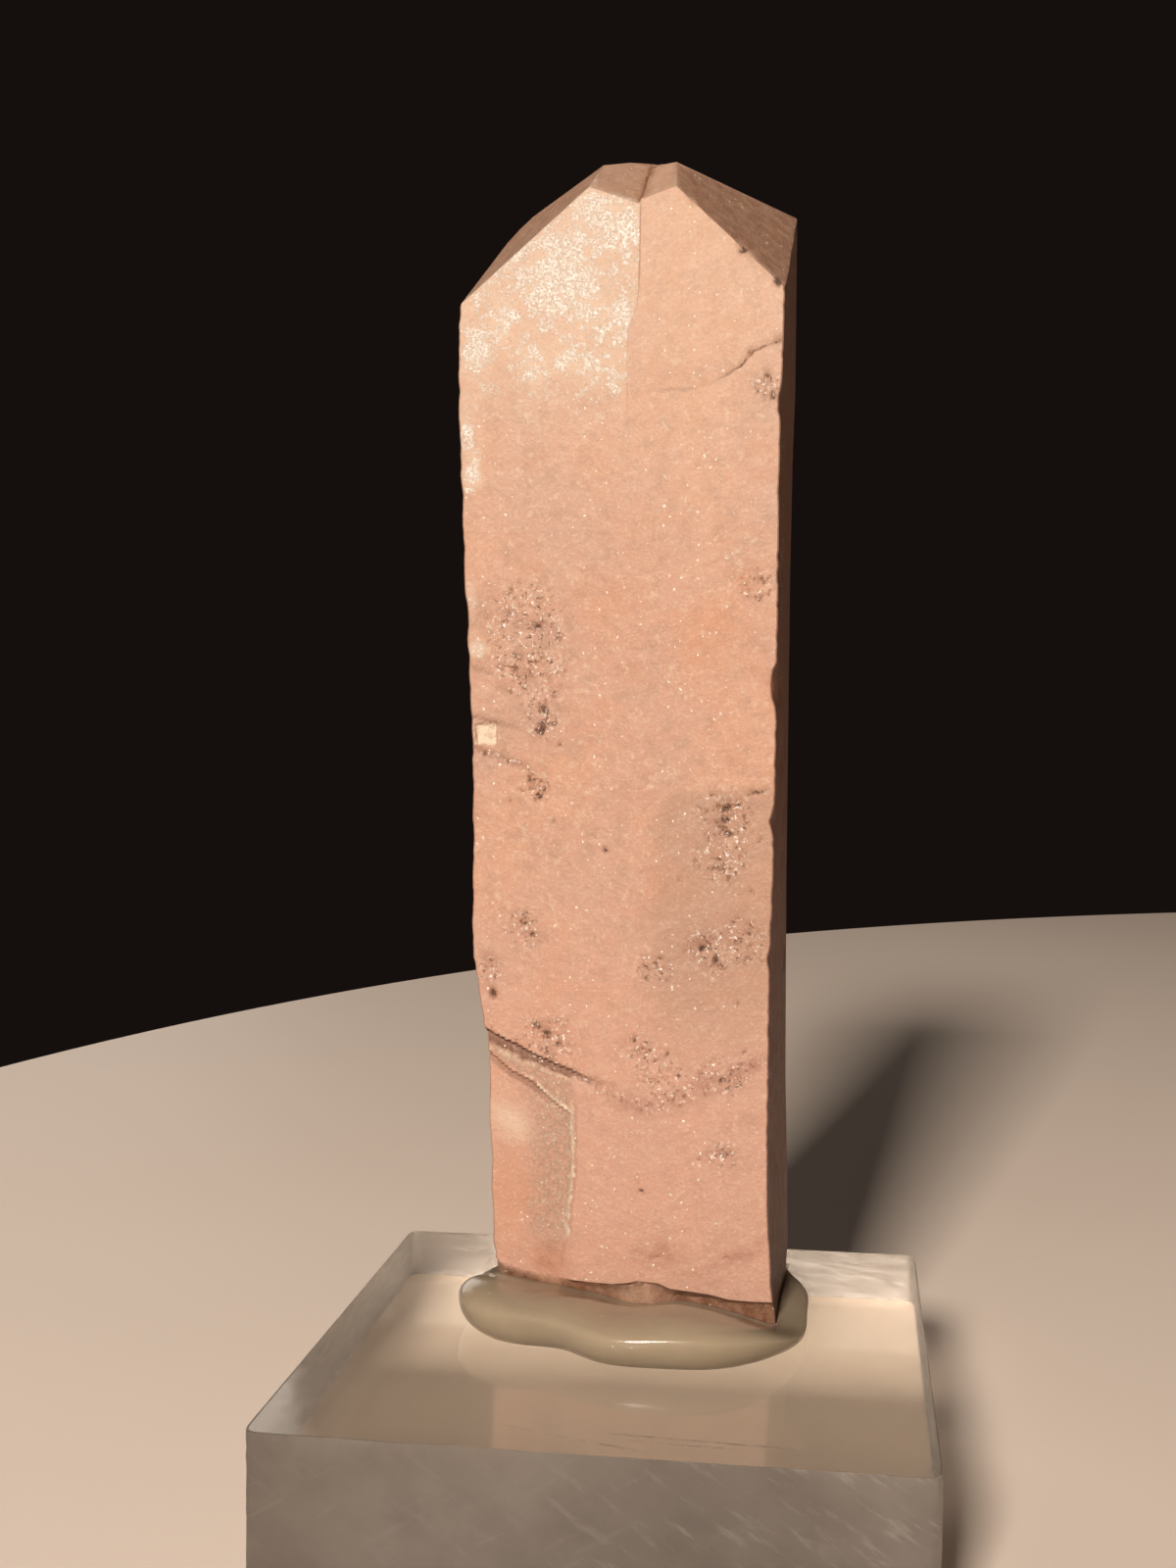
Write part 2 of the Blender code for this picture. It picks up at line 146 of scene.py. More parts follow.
class Nodes:
    # adds nodes to one tree and joins them by socket; in_3 is the socket with index 3
    def __init__(self, tree):
        self.tree = tree

    def add(self, kind, settings=None, **inputs):
        node = self.tree.nodes.new("ShaderNode" + kind)
        for key, value in (settings or {}).items():
            setattr(node, key, value)
        self.fill(node, **inputs)
        return node

    def fill(self, node, **inputs):
        for key, value in inputs.items():
            target = node.inputs[int(key[3:]) if key.startswith("in_") else key.replace("_", " ")]
            value = value.socket if isinstance(value, Value) else value
            if isinstance(value, bpy.types.NodeSocket):
                self.tree.links.new(value, target)
            else:
                target.default_value = value

    def math(self, operation, a, b=0, clamp=False):
        node = self.add("Math", {"operation": operation, "use_clamp": clamp}, in_0=a, in_1=b)
        return Value(self, node.outputs[0])

    def mix(self, factor, a, b):
        return self.add("Mix", {"data_type": "RGBA"}, in_0=factor, in_6=a, in_7=b).outputs[2]

    def band(self, value, low, high, toLow=0, toHigh=1):
        # toLow to toHigh, eased, while the value runs from low to high
        node = self.add("MapRange", {"interpolation_type": "SMOOTHSTEP"},
                        in_0=value, in_1=low, in_2=high, in_3=toLow, in_4=toHigh)
        return Value(self, node.outputs[0])

    def noise(self, scale, detail=3, rough=0.55, vector=None):
        vector = self.where if vector is None else vector
        node = self.add("TexNoise", Vector=vector, Scale=scale, Detail=detail, Roughness=rough)
        return Value(self, node.outputs["Fac"])

    def attribute(self, name):
        return Value(self, self.add("Attribute", {"attribute_name": name}).outputs["Fac"])

    def parts(self, vector):
        return [Value(self, s) for s in self.add("SeparateXYZ", Vector=vector).outputs]

    def spots(self, vector, scale, size, share):
        node = self.add("Group", {"node_tree": spotTree}, Vector=vector, Scale=scale, Size=size, Share=share)
        return Value(self, node.outputs["Spots"]), Value(self, node.outputs["Shade"])

    def relief(self, shader, height, strength, distance):
        bump = self.add("Bump", Strength=strength, Distance=distance, Height=height)
        self.fill(shader, Normal=bump.outputs[0])


class Paint:
    # a colour built up in layers: each tint goes on as far as its mask says
    def __init__(self, n, tints, first):
        self.n, self.tints, self.colour = n, tints, linear(tints[first])

    def lay(self, tint, mask):
        self.colour = self.n.mix(mask, self.colour, linear(self.tints[tint]))


def speckleGroup():
    # small round spots in random cells, used on the crystal, the putty and the block
    tree = bpy.data.node_groups.new("scatteredSpots", "ShaderNodeTree")
    face = tree.interface
    face.new_socket("Vector", in_out="INPUT", socket_type="NodeSocketVector")
    for name, value in (("Scale", 1), ("Size", 0.1), ("Share", 0.3)):
        face.new_socket(name, in_out="INPUT", socket_type="NodeSocketFloat").default_value = value
    for name in ("Spots", "Shade"):
        face.new_socket(name, in_out="OUTPUT", socket_type="NodeSocketFloat")
    n = Nodes(tree)
    given = tree.nodes.new("NodeGroupInput").outputs
    cells = n.add("TexVoronoi", {"feature": "F1"}, Vector=given["Vector"], Scale=given["Scale"]).outputs
    near = n.math("LESS_THAN", cells["Distance"], given["Size"])
    chosen = n.add("SeparateColor", Color=cells["Color"]).outputs
    kept = n.math("LESS_THAN", chosen[0], given["Share"])
    n.fill(tree.nodes.new("NodeGroupOutput"), Spots=near * kept, Shade=chosen[1])
    return tree


spotTree = speckleGroup()


def newMaterial(name, passed=None):
    # passed: share of straight light that a clear piece lets through to what lies under it
    mat = bpy.data.materials.new(name)
    mat.use_nodes = True
    mat.node_tree.nodes.clear()
    n = Nodes(mat.node_tree)
    shader = n.add("BsdfPrincipled")
    surface = shader.outputs[0]
    if passed is not None:
        through = n.add("BsdfTransparent", Color=(passed, passed, passed, 1))
        shadowRay = n.add("LightPath").outputs["Is Shadow Ray"]
        surface = n.add("MixShader", in_0=shadowRay, in_1=surface, in_2=through.outputs[0]).outputs[0]
    n.add("OutputMaterial", Surface=surface)
    coords = n.add("TexCoord").outputs["Object"]
    # patterns are then in millimetres
    n.where = n.add("VectorMath", {"operation": "SCALE"}, in_0=coords, Scale=1000).outputs[0]
    return mat, n, shader, n.where


def finishPiece(name, shape, material, node, sharp):
    points, faces, masks = shape
    mesh = bpy.data.meshes.new(name)
    mesh.from_pydata((np.asarray(points) * mm).tolist(), [], faces)
    mesh.validate()
    for key, values in masks.items():
        layer = mesh.attributes.new(key, "FLOAT", "POINT")
        layer.data.foreach_set("value", np.asarray(values, dtype=np.float32))
    mesh.shade_smooth()
    mesh.set_sharp_from_angle(angle=radians(sharp))
    mesh.materials.append(material)
    piece = addObject(name, mesh)
    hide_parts(node)
    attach(piece, "root")


crystalSet = {
    "turn": -2.5, "thick": 12.3, "rows": 330, "seam": (1.65, -0.0155),
    # columns of the six walls: front left and right, right side, the two back halves, left side
    "columns": (100, 78, 20, 22, 22, 20),
    # how far each end plane is painted brown: the ends' own brown plus painted shade, plane by plane
    "leftShades": (0.42, 0.6, 0.22, 0.3, 0.6, 0.6, 0.65, 0.55), "rightShades": (0.24, 0.74, 0.16, 0.85, 0.55),
    # outlines as (z, u), the foot as (u, z); end planes as height at u = v = 0, rise along u, rise along v
    "leftEdge": ((0, -9.35), (4.6, -9.33), (7.4, -9.53), (13.4, -9.76), (19.5, -9.86), (22.2, -10.27), (24.9, -10.69),
        (26.2, -10.83), (31.6, -10.78), (36.9, -10.83), (39.6, -10.87), (42.3, -11.01), (44.9, -11.14), (47.6, -11.24),
        (50.2, -11.38), (52.9, -11.52), (55.5, -11.66), (58.2, -11.7), (59.5, -11.84), (63.5, -11.9), (67.4, -11.88),
        (69.5, -11.78)),
    "rightEdge": ((0, 10.08), (1.4, 9.98), (3.8, 9.76), (7.2, 9.6), (11.1, 9.44), (17.7, 9.45), (24.2, 9.47),
        (30.7, 9.64), (37.2, 9.72), (41.1, 9.76), (50, 9.79), (56.4, 9.8), (60.2, 9.84), (62.8, 9.92), (66.6, 10),
        (69.1, 10.05)),
    "rightBackEdge": ((0, 9.98), (7.9, 9.88), (15.2, 9.68), (29.6, 9.6), (51, 9.66), (60, 9.76), (65, 9.9),
        (69.3, 9.92)),
    "footEdge": ((-12, 4.6), (-9.4, 4.35), (-8.69, 3.82), (-6.41, 3.38), (-4.7, 3.26), (-2.66, 3.18), (-0.97, 3.16),
        (0.1, 3.3), (0.71, 3.48), (2.18, 3.38), (2.98, 3.05), (4.25, 2.98), (5.64, 2.86), (6.96, 2.6), (8.27, 2.58),
        (9.84, 2.62), (12, 2.6)),
    "leftEnd": ((75.563, -0.37, 0.84), (79.182, 0.84, 0.66), (79.76, 0.293, -0.004), (79.51, 0.05, 0),
        (96.284, 1.911, -0.222), (124.456, 4.667, -0.222), (89.576, 0.84, -0.66), (87.075, -0.37, -0.84)),
    "rightEnd": ((75.575, 0.321, 0.84), (79.237, -0.964, 0.66), (79.56, -0.244, 0.018), (94.303, -0.964, -0.66),
        (87.171, 0.321, -0.84)),
}

# patches painted pale with frosty flakes, a painted glint of the lamp off tiny facets; the two smallest paint glints on
# the top edge
frostGlintPatches = (    # u, z, wide, tall, how much
    (-5.2, 70.3, 1.6, 1.6, 0.75), (-3.3, 69.6, 0.9, 1.9, 0.6), (-1, 73.8, 1.5, 1.1, 0.75), (-0.9, 68.1, 0.9, 1, 0.65),
    (-2.6, 75.2, 1.8, 1, 0.6), (-4.6, 72.8, 1.6, 1.3, 0.45), (-8.9, 68.1, 0.7, 1.3, 0.6), (-10.6, 66.2, 0.7, 1.2, 0.6),
    (-6.6, 64.9, 0.9, 1.2, 0.5), (-4.3, 65.3, 0.9, 0.8, 0.4), (-2, 64.5, 2.2, 1.5, 0.2), (-11, 58.1, 0.7, 1.2, 0.95),
    (-7.8, 72.3, 0.28, 0.28, 1.2), (-8.5, 71.6, 0.25, 0.25, 1.2), (-10.6, 46.1, 0.9, 0.6, 0.75),
    (-11.3, 60.6, 0.6, 1.4, 0.45), (-10.9, 49.5, 0.5, 1.5, 0.35),
)

smudges = (    # u, z, wide, tall, how much, tilt if any
    (2, 5.5, 1.5, 0.9, 0.85, 8), (7.9, 5.8, 2.2, 0.6, 0.8, 27), (4.6, 4.2, 1.4, 0.5, 0.35, 10),
    (-5.5, 4.6, 1.2, 1.1, 0.85), (6.4, 12.4, 1.9, 0.6, 0.5, 5), (7.8, 14.6, 1.2, 0.6, 0.4, 25),
    (1.3, 15.4, 1.9, 0.6, 0.85, 3), (5.2, 17, 2.6, 0.8, 0.65, 22), (8.5, 18.5, 1.8, 0.5, 0.6, 27),
    (-1, 16.4, 1.5, 0.5, 0.5, -25), (0.6, 19.5, 1.2, 0.6, 0.4, -15), (-6.4, 47.7, 1.5, 0.5, 0.75, -14),
    (-8.9, 48.6, 0.5, 1.3, 0.55, 15), (-8, 44.8, 2.2, 0.8, 0.4), (5.4, 27, 2.6, 0.9, 0.55, 28),
    (-6.9, 27, 1.6, 0.7, 0.45, -15), (9.75, 43.9, 0.55, 1.35, 1), (-9.6, 24.3, 0.5, 1.8, 0.6),
    (6.3, 35.2, 1.4, 1, 0.45, 30), (-0.1, 44.6, 1.2, 0.5, 0.25), (-6, 40.9, 0.9, 0.9, 0.4),
    (-5.4, 19.9, 1.7, 0.9, 0.45, -25), (-9.9, 68.9, 0.9, 0.5, 0.45, 30), (-3, 63, 2.8, 0.8, 0.15),
    (2.6, 64.2, 3.4, 0.6, 0.22, 4), (8.8, 63.3, 0.7, 1.2, 0.5), (-7.8, 52.6, 2.2, 0.5, 0.22, 18),
)

facePits = (    # u, z, wide, tall, deep, tilt if any
    (-6.42, 47.6, 0.34, 0.2, 0.26), (-5.05, 46.8, 0.3, 0.18, 0.24, 20), (-5.9, 42, 0.26, 0.26, 0.3),
    (-6.09, 40.6, 0.3, 0.4, 0.34, 15), (-4.87, 39.6, 0.18, 0.18, 0.2), (-8.29, 48.6, 0.34, 0.22, 0.18, 25),
    (-8.4, 49.8, 0.5, 0.18, 0.14, 25), (-7.77, 45.4, 0.36, 0.2, 0.18, -20), (-5.22, 43.1, 0.26, 0.24, 0.2, 40),
    (-8.27, 43.1, 0.3, 0.18, 0.14), (-6.85, 37.3, 0.14, 0.34, 0.26, 10), (-6.7, 36.6, 0.2, 0.16, 0.22),
    (-6.15, 37.2, 0.22, 0.13, 0.2, -35), (-5.9, 36.6, 0.14, 0.26, 0.26), (-6.2, 36.1, 0.24, 0.18, 0.32),
    (-8.31, 35.7, 0.2, 0.18, 0.18), (7.32, 50.7, 0.26, 0.14, 0.14), (8.6, 49.3, 0.2, 0.22, 0.2),
    (6.45, 35.6, 0.44, 0.19, 0.34, 12), (7.25, 35.75, 0.34, 0.14, 0.22, 20), (6.4, 34.75, 0.28, 0.26, 0.32, -20),
    (6.7, 33.85, 0.28, 0.2, 0.26), (5.55, 36.45, 0.26, 0.15, 0.18), (8.5, 36.6, 0.85, 0.11, 0.22, 16),
    (5.78, 32.4, 0.09, 1, 0.1), (8.79, 33.45, 0.2, 0.16, 0.2), (7.43, 32.45, 0.12, 0.12, 0.14),
    (8.18, 30, 0.22, 0.12, 0.2, -35), (3.43, 30.7, 0.18, 0.15, 0.16), (-1.56, 32.5, 0.24, 0.17, 0.26, -30),
    (-2.31, 33.4, 0.15, 0.15, 0.16), (-3.18, 38.6, 0.2, 0.1, 0.12), (-5.27, 34.5, 0.22, 0.14, 0.18, -30),
    (-7.25, 27.5, 0.34, 0.18, 0.24, -20), (-6.6, 26.7, 0.3, 0.18, 0.24, -25), (5.03, 26.1, 0.34, 0.2, 0.34, 10),
    (5.94, 25.4, 0.16, 0.34, 0.3), (8.12, 27.2, 0.22, 0.16, 0.24), (2.15, 25.3, 0.26, 0.16, 0.18),
    (1.25, 23.9, 0.24, 0.14, 0.2, 20), (-9.45, 22.65, 0.26, 0.36, 0.4, 10), (-6.3, 20.5, 0.34, 0.2, 0.28),
    (-5.6, 20, 0.3, 0.26, 0.3, -25), (-4.7, 19.25, 0.3, 0.15, 0.26), (0.35, 19.85, 0.16, 0.24, 0.26, -25),
    (0.91, 19.3, 0.2, 0.13, 0.18, -20), (2.69, 18.9, 0.15, 0.26, 0.22), (5.18, 18, 0.22, 0.14, 0.18, -20),
    (2.04, 17.1, 0.18, 0.18, 0.2), (6.41, 17.4, 0.22, 0.16, 0.18), (1.31, 15.4, 0.34, 0.16, 0.14, 15),
    (1.01, 9.5, 0.26, 0.15, 0.24, -40), (0.72, 10.1, 0.1, 0.22, 0.16, 20), (7.43, 22.5, 0.12, 0.18, 0.16),
    (7.75, 19.35, 0.24, 0.14, 0.18, 20), (8.9, 63.9, 0.24, 0.16, 0.24), (9.4, 62.5, 0.2, 0.34, 0.26),
    (7.72, 65.4, 0.24, 0.17, 0.2, 20), (9.6, 66.15, 0.3, 0.12, 0.2, 10), (7.15, 64.6, 0.14, 0.2, 0.12, -30),
    (8.4, 62.9, 0.16, 0.2, 0.16), (7.35, 72.15, 0.36, 0.26, 0.28, 45), (9.58, 69.95, 0.22, 0.36, 0.32, 20),
    (3.9, 6.9, 0.34, 0.14, 0.1), (6.7, 5.4, 0.4, 0.16, 0.12, 10), (1.9, 5.2, 0.42, 0.22, 0.12),
    (6.45, 12.3, 0.34, 0.18, 0.16), (4.81, 11.9, 0.18, 0.14, 0.14), (-1, 52.1, 0.14, 0.14, 0.1),
)

clusters = (    # u, z, spread
    (-7.2, 48.2, 1.7), (-6, 41.2, 0.9), (6.5, 35, 1.3), (5.5, 25.8, 1.1), (8, 26.9, 1.1), (-7.1, 27.2, 0.9),
    (-5.4, 19.9, 1.2), (9, 63.2, 0.7), (0.8, 19.2, 0.8), (-6.4, 36.8, 0.7), (8.3, 50.2, 0.8), (1.7, 24.6, 0.8),
    (2.4, 17.2, 1.1), (-7, 45, 1.6), (6, 32, 1.1), (-9.6, 24.3, 0.6), (6.3, 17.6, 0.9), (6.4, 12.2, 0.7),
)

warmSpots = (    # how much, u, z, wide, tall, tilt if any
    (0.85, -8.3, 8.8, 1.9, 4), (0.6, 5, 46.7, 1.9, 2.4, -20), (0.8, -5.5, 4.4, 1.3, 1.3), (0.5, -2.2, 49.5, 2.6, 1.7),
    (0.5, 0.1, 44.6, 1.1, 0.8),
)


def edgeAt(name, z):
    return np.interp(z, *np.transpose(crystalSet[name]))


def seamAt(z):
    return crystalSet["seam"][0] + crystalSet["seam"][1] * z


def planesAt(name, u, v):
    # the heights of the sloping planes at one end of a half, plane by plane
    return np.array([c + a * u + b * v for c, a, b in crystalSet[name]])


def endHeight(u, v):
    # each half ends in the lowest of its sloping planes; the seam splits the halves
    left, right = planesAt("leftEnd", u, v).min(0), planesAt("rightEnd", u, v).min(0)
    seam = seamAt(77)
    return np.where(np.abs(u - seam) < 0.006, np.minimum(left, right), np.where(u < seam, left, right))


def endShade(u, v):
    # how brown the end plane at u, v is painted: its own brown plus painted shade that differs plane by plane, and a
    # painted shade beside the seam's notch
    left, right = (np.array(crystalSet[half + "Shades"])[planesAt(half + "End", u, v).argmin(0)]
                   for half in ("left", "right"))
    return np.where(u < seamAt(77), left, right) + 0.9 * bell(u - seamAt(77) - 0.05, 0.2)


def footHeight(u, v):
    # from the front edge: a shallow overhang, then a steep shell-shaped drop to the slanting break
    turnIn = 0.75 + 0.35 * lattice(u * 0.55 + 3, 0, 61) - 0.5 * bump2d(u, 0, 0.4, 0, 1.3, 1)
    drop = 0.62 * v + 2.3 * np.maximum(0, v - turnIn)
    ripple = 0.1 * layered(u * 0.9, v * 1.6, 62) * ramp(0, 0.6, v)
    slant = 2.15 - 0.085 * (u + 9.3) + 0.085 * (v - 3)
    hollow = 0.35 * np.maximum(0, layered(u * 0.25 + 7, v * 0.3, 63, 2))
    rear = 3.4 * ramp(9.6, 12.6, v) * (0.35 + 0.25 * lattice(u * 0.35, 0, 64))
    return np.maximum(np.maximum(edgeAt("footEdge", u) - drop, slant + hollow + rear), 0.25) + ripple


def wallPoint(kind, f, z):
    # kinds 0 and 1: front halves; 2: right side; 3 and 4: back halves; 5: left side. f runs 0 to 1 along each
    thick = crystalSet["thick"]
    rim = 0.1
    seam, right, rightBack = seamAt(z), edgeAt("rightEdge", z), edgeAt("rightBackEdge", z)
    chip = 0.34 * np.exp(-((z - 43.7) / 1.2) ** 4) + 0.07 * np.maximum(0, lattice(z * 1.9, 0, 71))
    for height, wide, deep in ((34.7, 0.8, 0.26), (62.2, 0.9, 0.2), (25.6, 0.7, 0.16)):
        chip = chip + deep * bell(z - height, wide)
    left = edgeAt("leftEdge", z) + 0.07 * layered(z * 0.9, 0, 72, 3)
    backLeft = left + 0.15 + 0.1 * lattice(z * 0.12, 0, 73)
    rightV = rim + (thick - 0.12 - 2 * rim) * f
    leftV = thick - rim + (2 * rim - thick) * f
    which = [kind == k for k in range(6)]
    u = np.select(which, [
        left + rim + (seam - left - rim) * f,
        seam + (right - chip - rim - seam) * f,
        right + (rightBack - right) * f - chip * bell(rightV, 0.9),
        rightBack - rim + (seam - rightBack + rim) * f,
        seam + (backLeft + rim - seam) * f,
        backLeft + (left - backLeft) * f,
    ])
    v = np.select(which, [-0.006 * u, -0.1 + 0.004 * u, rightV - 0.06, thick - 0.12, thick, leftV + 0.07 * f])
    return u, v


def seamTrace(z):
    # where the halves meet on the front: straight lines between these heights, a step to the left below the notch
    return np.interp(z, (15, 40, 50, 62, 67.2, 68.8, 70, 75.7), (1.42, 0.9, 0.2, -0.35, -0.33, 0.28, 0.4, 0.5))


def frontRelief(u, z):
    # depth into the face: growth lines that meet in a V at the seam, ledges, a crack and pits, all added.
    # The masks named gap hold a distance in mm to a line, so that the material can draw the line sharply
    seam = seamTrace(z)
    across = np.abs(u - seam)
    band = z - 0.47 * across
    rightHalf = (u > seam).astype(float)
    depth = 0.05 * layered(u * 0.21, z * 0.11, 11, 3)
    depth += 0.018 * layered(band * 0.6, across * (0.13 + 0.1 * rightHalf), 12, 3)
    depth += 0.007 * layered(band * 2.2, across * (0.45 + 0.3 * rightHalf), 13, 2)
    depth += 0.01 * layered(u * 2.1, z * 2.1, 17, 2)
    wobble = 0.2 * layered(u * 0.8, z * 0.8, 14, 3)
    masks = {"band": band, "across": across * (1 + 0.7 * rightHalf)}

    # two slanting ledges, the shelf between them and the upright step, near the foot on the left
    lineOne = np.interp(u, [-12, -9.74, -7.16, -4.94, -2.06, -1], [21.1, 20.1, 18.95, 17.95, 17, 16.7]) + 0.3 * wobble
    lineTwo = np.interp(u, [-12, -9.5, -8.2, -6.6, -5.4, -3.73], [20, 18.4, 17.4, 16.65, 15.6, 14.45]) + 0.3 * wobble
    stepU = np.interp(z, [0, 3, 6.3, 8.4, 9.7, 14.5, 16.6], [-4.9, -4.6, -4.06, -4, -3.72, -3.72, -3.7]) + 0.25 * wobble
    upper = np.clip(0.46 - 0.05 * (u + 9.5), 0, 0.5) * ramp(0, 0.14, lineOne - z)
    lower = ramp(0, 0.14, lineTwo - z) * ramp(0, 0.42, stepU - u)
    groove = 0.17 * bell(lineOne - z - 0.18, 0.16) * ramp(-1.4, -4.5, u)
    shelf = 1 - 0.85 * ramp(-4.4, -3.6, u) * ramp(16.7, 16.2, z)
    depth += upper * shelf + 0.3 * lower * (1 - 0.45 * ramp(10, 3, z)) + groove
    strip = ramp(-8, -5, u) * ramp(-0.05, 0.12, stepU - u) * ramp(4.6, 7, z) * ramp(0, 0.4, lineTwo - z)
    underLedge = ramp(0.3, 0.7, lineOne - z) * ramp(-0.1, 0.4, z - lineTwo) * ramp(-3.4, -4.2, u)
    masks["grainy"] = np.clip(strip + 0.7 * underLedge, 0, 1)
    depth += 0.07 * masks["grainy"] * layered(u * 3, z * 3, 15, 3)

    # the square cleaved spot on the left edge, with a dark line over it and a broken band under it
    slabGap = np.maximum(np.abs(u + 9.92) - 0.7, np.abs(z - 40.35) - 0.7)
    over = bell(z - np.interp(u, [-11.2, -9.3, -6.7], [41.55, 41.15, 40.45]), 0.13) * ramp(-6.2, -9, u)
    under = bell(z - np.interp(u, [-11.2, -10.6, -9.1, -7.1, -6.5], [39.35, 39.25, 38.75, 38.1, 37.7]), 0.26)
    under = under * ramp(-6.4, -7.4, u)
    edgeLine = bell(z - np.interp(u, [-11.2, -9, -8], [44.95, 44.25, 43.9]), 0.13) * ramp(-8.4, -9.8, u)
    masks["ledge"] = np.clip(0.75 * over + 0.35 * under + 0.45 * edgeLine, 0, 1)
    depth += 0.22 * ramp(0.06, -0.06, slabGap) + 0.08 * over + 0.12 * under + 0.06 * edgeLine

    # the crack, the chipped rim of the right shoulder and the seam
    crackZ = np.interp(u, [0.5, 2.6, 4.25, 6.44, 7.2, 7.84, 8.8, 9.68, 10.2],
                       [63, 63.1, 63.25, 64, 64.7, 65.45, 65.8, 66.1, 66.3]) + 0.8 * wobble
    crackDepth = np.interp(u, [0.8, 2, 5.2, 7, 7.7, 8.5, 9.3], [0, 0.02, 0.05, 0.1, 0.15, 0.1, 0.14])
    depth += crackDepth * bell(z - crackZ, 0.19)
    rimNoise = np.maximum(0, 0.45 + layered(u * 0.8 + 4, 0, 19, 3))
    depth += 0.24 * rimNoise * bell(79.24 - 0.964 * u - z, 0.35) * rightHalf * ramp(3, 4.5, u)
    depth += 0.05 * bell(across, 0.08) * (0.25 * ramp(60.5, 63, z) + 0.75 * ramp(67.5, 70, z))
    for key, gap, low in (("One", lineOne - z, -3), ("Two", lineTwo - z, -3), ("Step", stepU - u, -3),
                          ("Slab", slabGap, -1), ("Crack", z - crackZ, -3), ("Seam", u - seam, -3)):
        masks["gap" + key] = np.clip(gap, low, 3)

    pits = np.zeros_like(u)
    for cu, cz, ru, rz, deep, *tilt in facePits:
        pit = bump2d(u + 0.5 * wobble, z - 0.4 * wobble, cu, cz, ru, rz, *tilt)
        depth += deep * pit
        pits = np.maximum(pits, pit * min(1, deep / 0.28))
    random = np.random.default_rng(5)
    for cu, cz, spread in clusters:
        for _ in range(7):
            pu, pz = random.normal(cu, spread * 0.5), random.normal(cz, spread * 0.5)
            size = random.uniform(0.07, 0.15)
            pit = bump2d(u, z, pu, pz, size * random.uniform(1, 2.4), size, random.uniform(-60, 60))
            depth += 0.11 * pit
            pits = np.maximum(pits, pit * random.uniform(0.3, 0.8))
    masks["pit"] = pits

    # where the tints of the material go
    # the upper left half is painted paler with frosty flakes, a painted glint of the lamp off tiny facets
    frostGlint = 0.36 * (1 - rightHalf) * ramp(59.5, 66.5, z + 6 * wobble) + 0.08 * ramp(40, 62, z)
    frostGlint += sum(much * bump2d(u + wobble, z - wobble, *spot) for *spot, much in frostGlintPatches)
    warm = sum(much * bump2d(u, z, *spot) for much, *spot in warmSpots)
    coolTop = np.interp(u, [0.6, 1.5, 2.2, 3.6, 5.4, 10], [33, 35.1, 36.3, 36.7, 36.75, 37.3])
    cool = ramp(-0.15, 0.45, coolTop - z + 0.6 * wobble) * ramp(0.2, 2.8, u + 3 * wobble) * ramp(17, 24, z)
    mottle = sum(bump2d(u + wobble, z, cu, cz, 1.6 * s, 1.4 * s, -25) for cu, cz, s in clusters)
    mottle += 0.6 * bell(band - 15.2, 0.7) * ramp(3, 0.5, band - 14) + under
    smudge = sum(much * bump2d(u + 0.6 * wobble, z, cu, cz, ru, rz, *tilt)
                 for cu, cz, ru, rz, much, *tilt in smudges)
    for key, mask in (("frostGlint", frostGlint * (1 - 0.85 * rightHalf)), ("warm", warm), ("cool", cool), ("mottle", mottle),
                      ("pale", bump2d(u, z, -8.2, 13.7, 1.8, 1, -32)), ("smudge", smudge + 0.5 * under)):
        masks[key] = np.clip(mask, 0, 1)
    return depth, masks


def sideRelief(kind, f, z):
    # growth lines along the length, low hollows and a few pits on the sides and the back
    along = f * 12 + 29 * kind
    depth = 0.05 * layered(along * 0.25, z * 0.09, 21, 3) + 0.02 * layered(along * 1.6, z * 0.1, 22, 3)
    depth += 0.012 * layered(along * 1.4, z * 1.4, 23, 2)
    random = np.random.default_rng(9)
    masks = []
    for count, places, heights, sizes, tall, deep, share in (
            (60, (0.06, 0.94), (6, 70), (0.18, 0.55), (0.8, 2), lambda size: 0.5 * size, 0.8),
            (22, (0.1, 0.9), (8, 68), (0.9, 2.2), (0.6, 1.6), lambda size: 0.1, 1)):
        mask = np.zeros_like(f)
        for _ in range(count):
            where = random.choice([2, 3, 4, 5])
            cf, cz, size = (random.uniform(*span) for span in (places, heights, sizes))
            spot = (kind == where) * bump2d(f * 12, z, cf * 12, cz, size, size * random.uniform(*tall))
            depth += deep(size) * spot
            mask = np.maximum(mask, spot * share)
        masks.append(mask)
    return depth, *masks


def endCreases(name, uLow, uHigh):
    # along each line where two end planes meet, keep the stretch where both are the lowest
    t = np.linspace(-40, 40, 16001)
    planes, found = np.array(crystalSet[name]), []
    for i in range(len(planes)):
        for j in range(i + 1, len(planes)):
            c, a, b = planes[i] - planes[j]
            size = a * a + b * b
            if size < 1e-9:
                continue
            u = -c * a / size - b * t / sqrt(size)
            v = -c * b / size + a * t / sqrt(size)
            heights = planesAt(name, u, v)
            keep = (heights[i] <= heights.min(0) + 1e-6) & (u > uLow) & (u < uHigh) & (v > -0.08)
            at = np.nonzero(keep & (v < crystalSet["thick"]))[0]
            if len(at) > 40:
                found.append(((u[at[0]], v[at[0]]), (u[at[-1]], v[at[-1]])))
    return found


def fromOutline(points, ring):
    # distance from each point to the nearest point of the ring
    return np.hypot(points[:, None, 0] - ring[None, :, 0], points[:, None, 1] - ring[None, :, 1]).min(1)


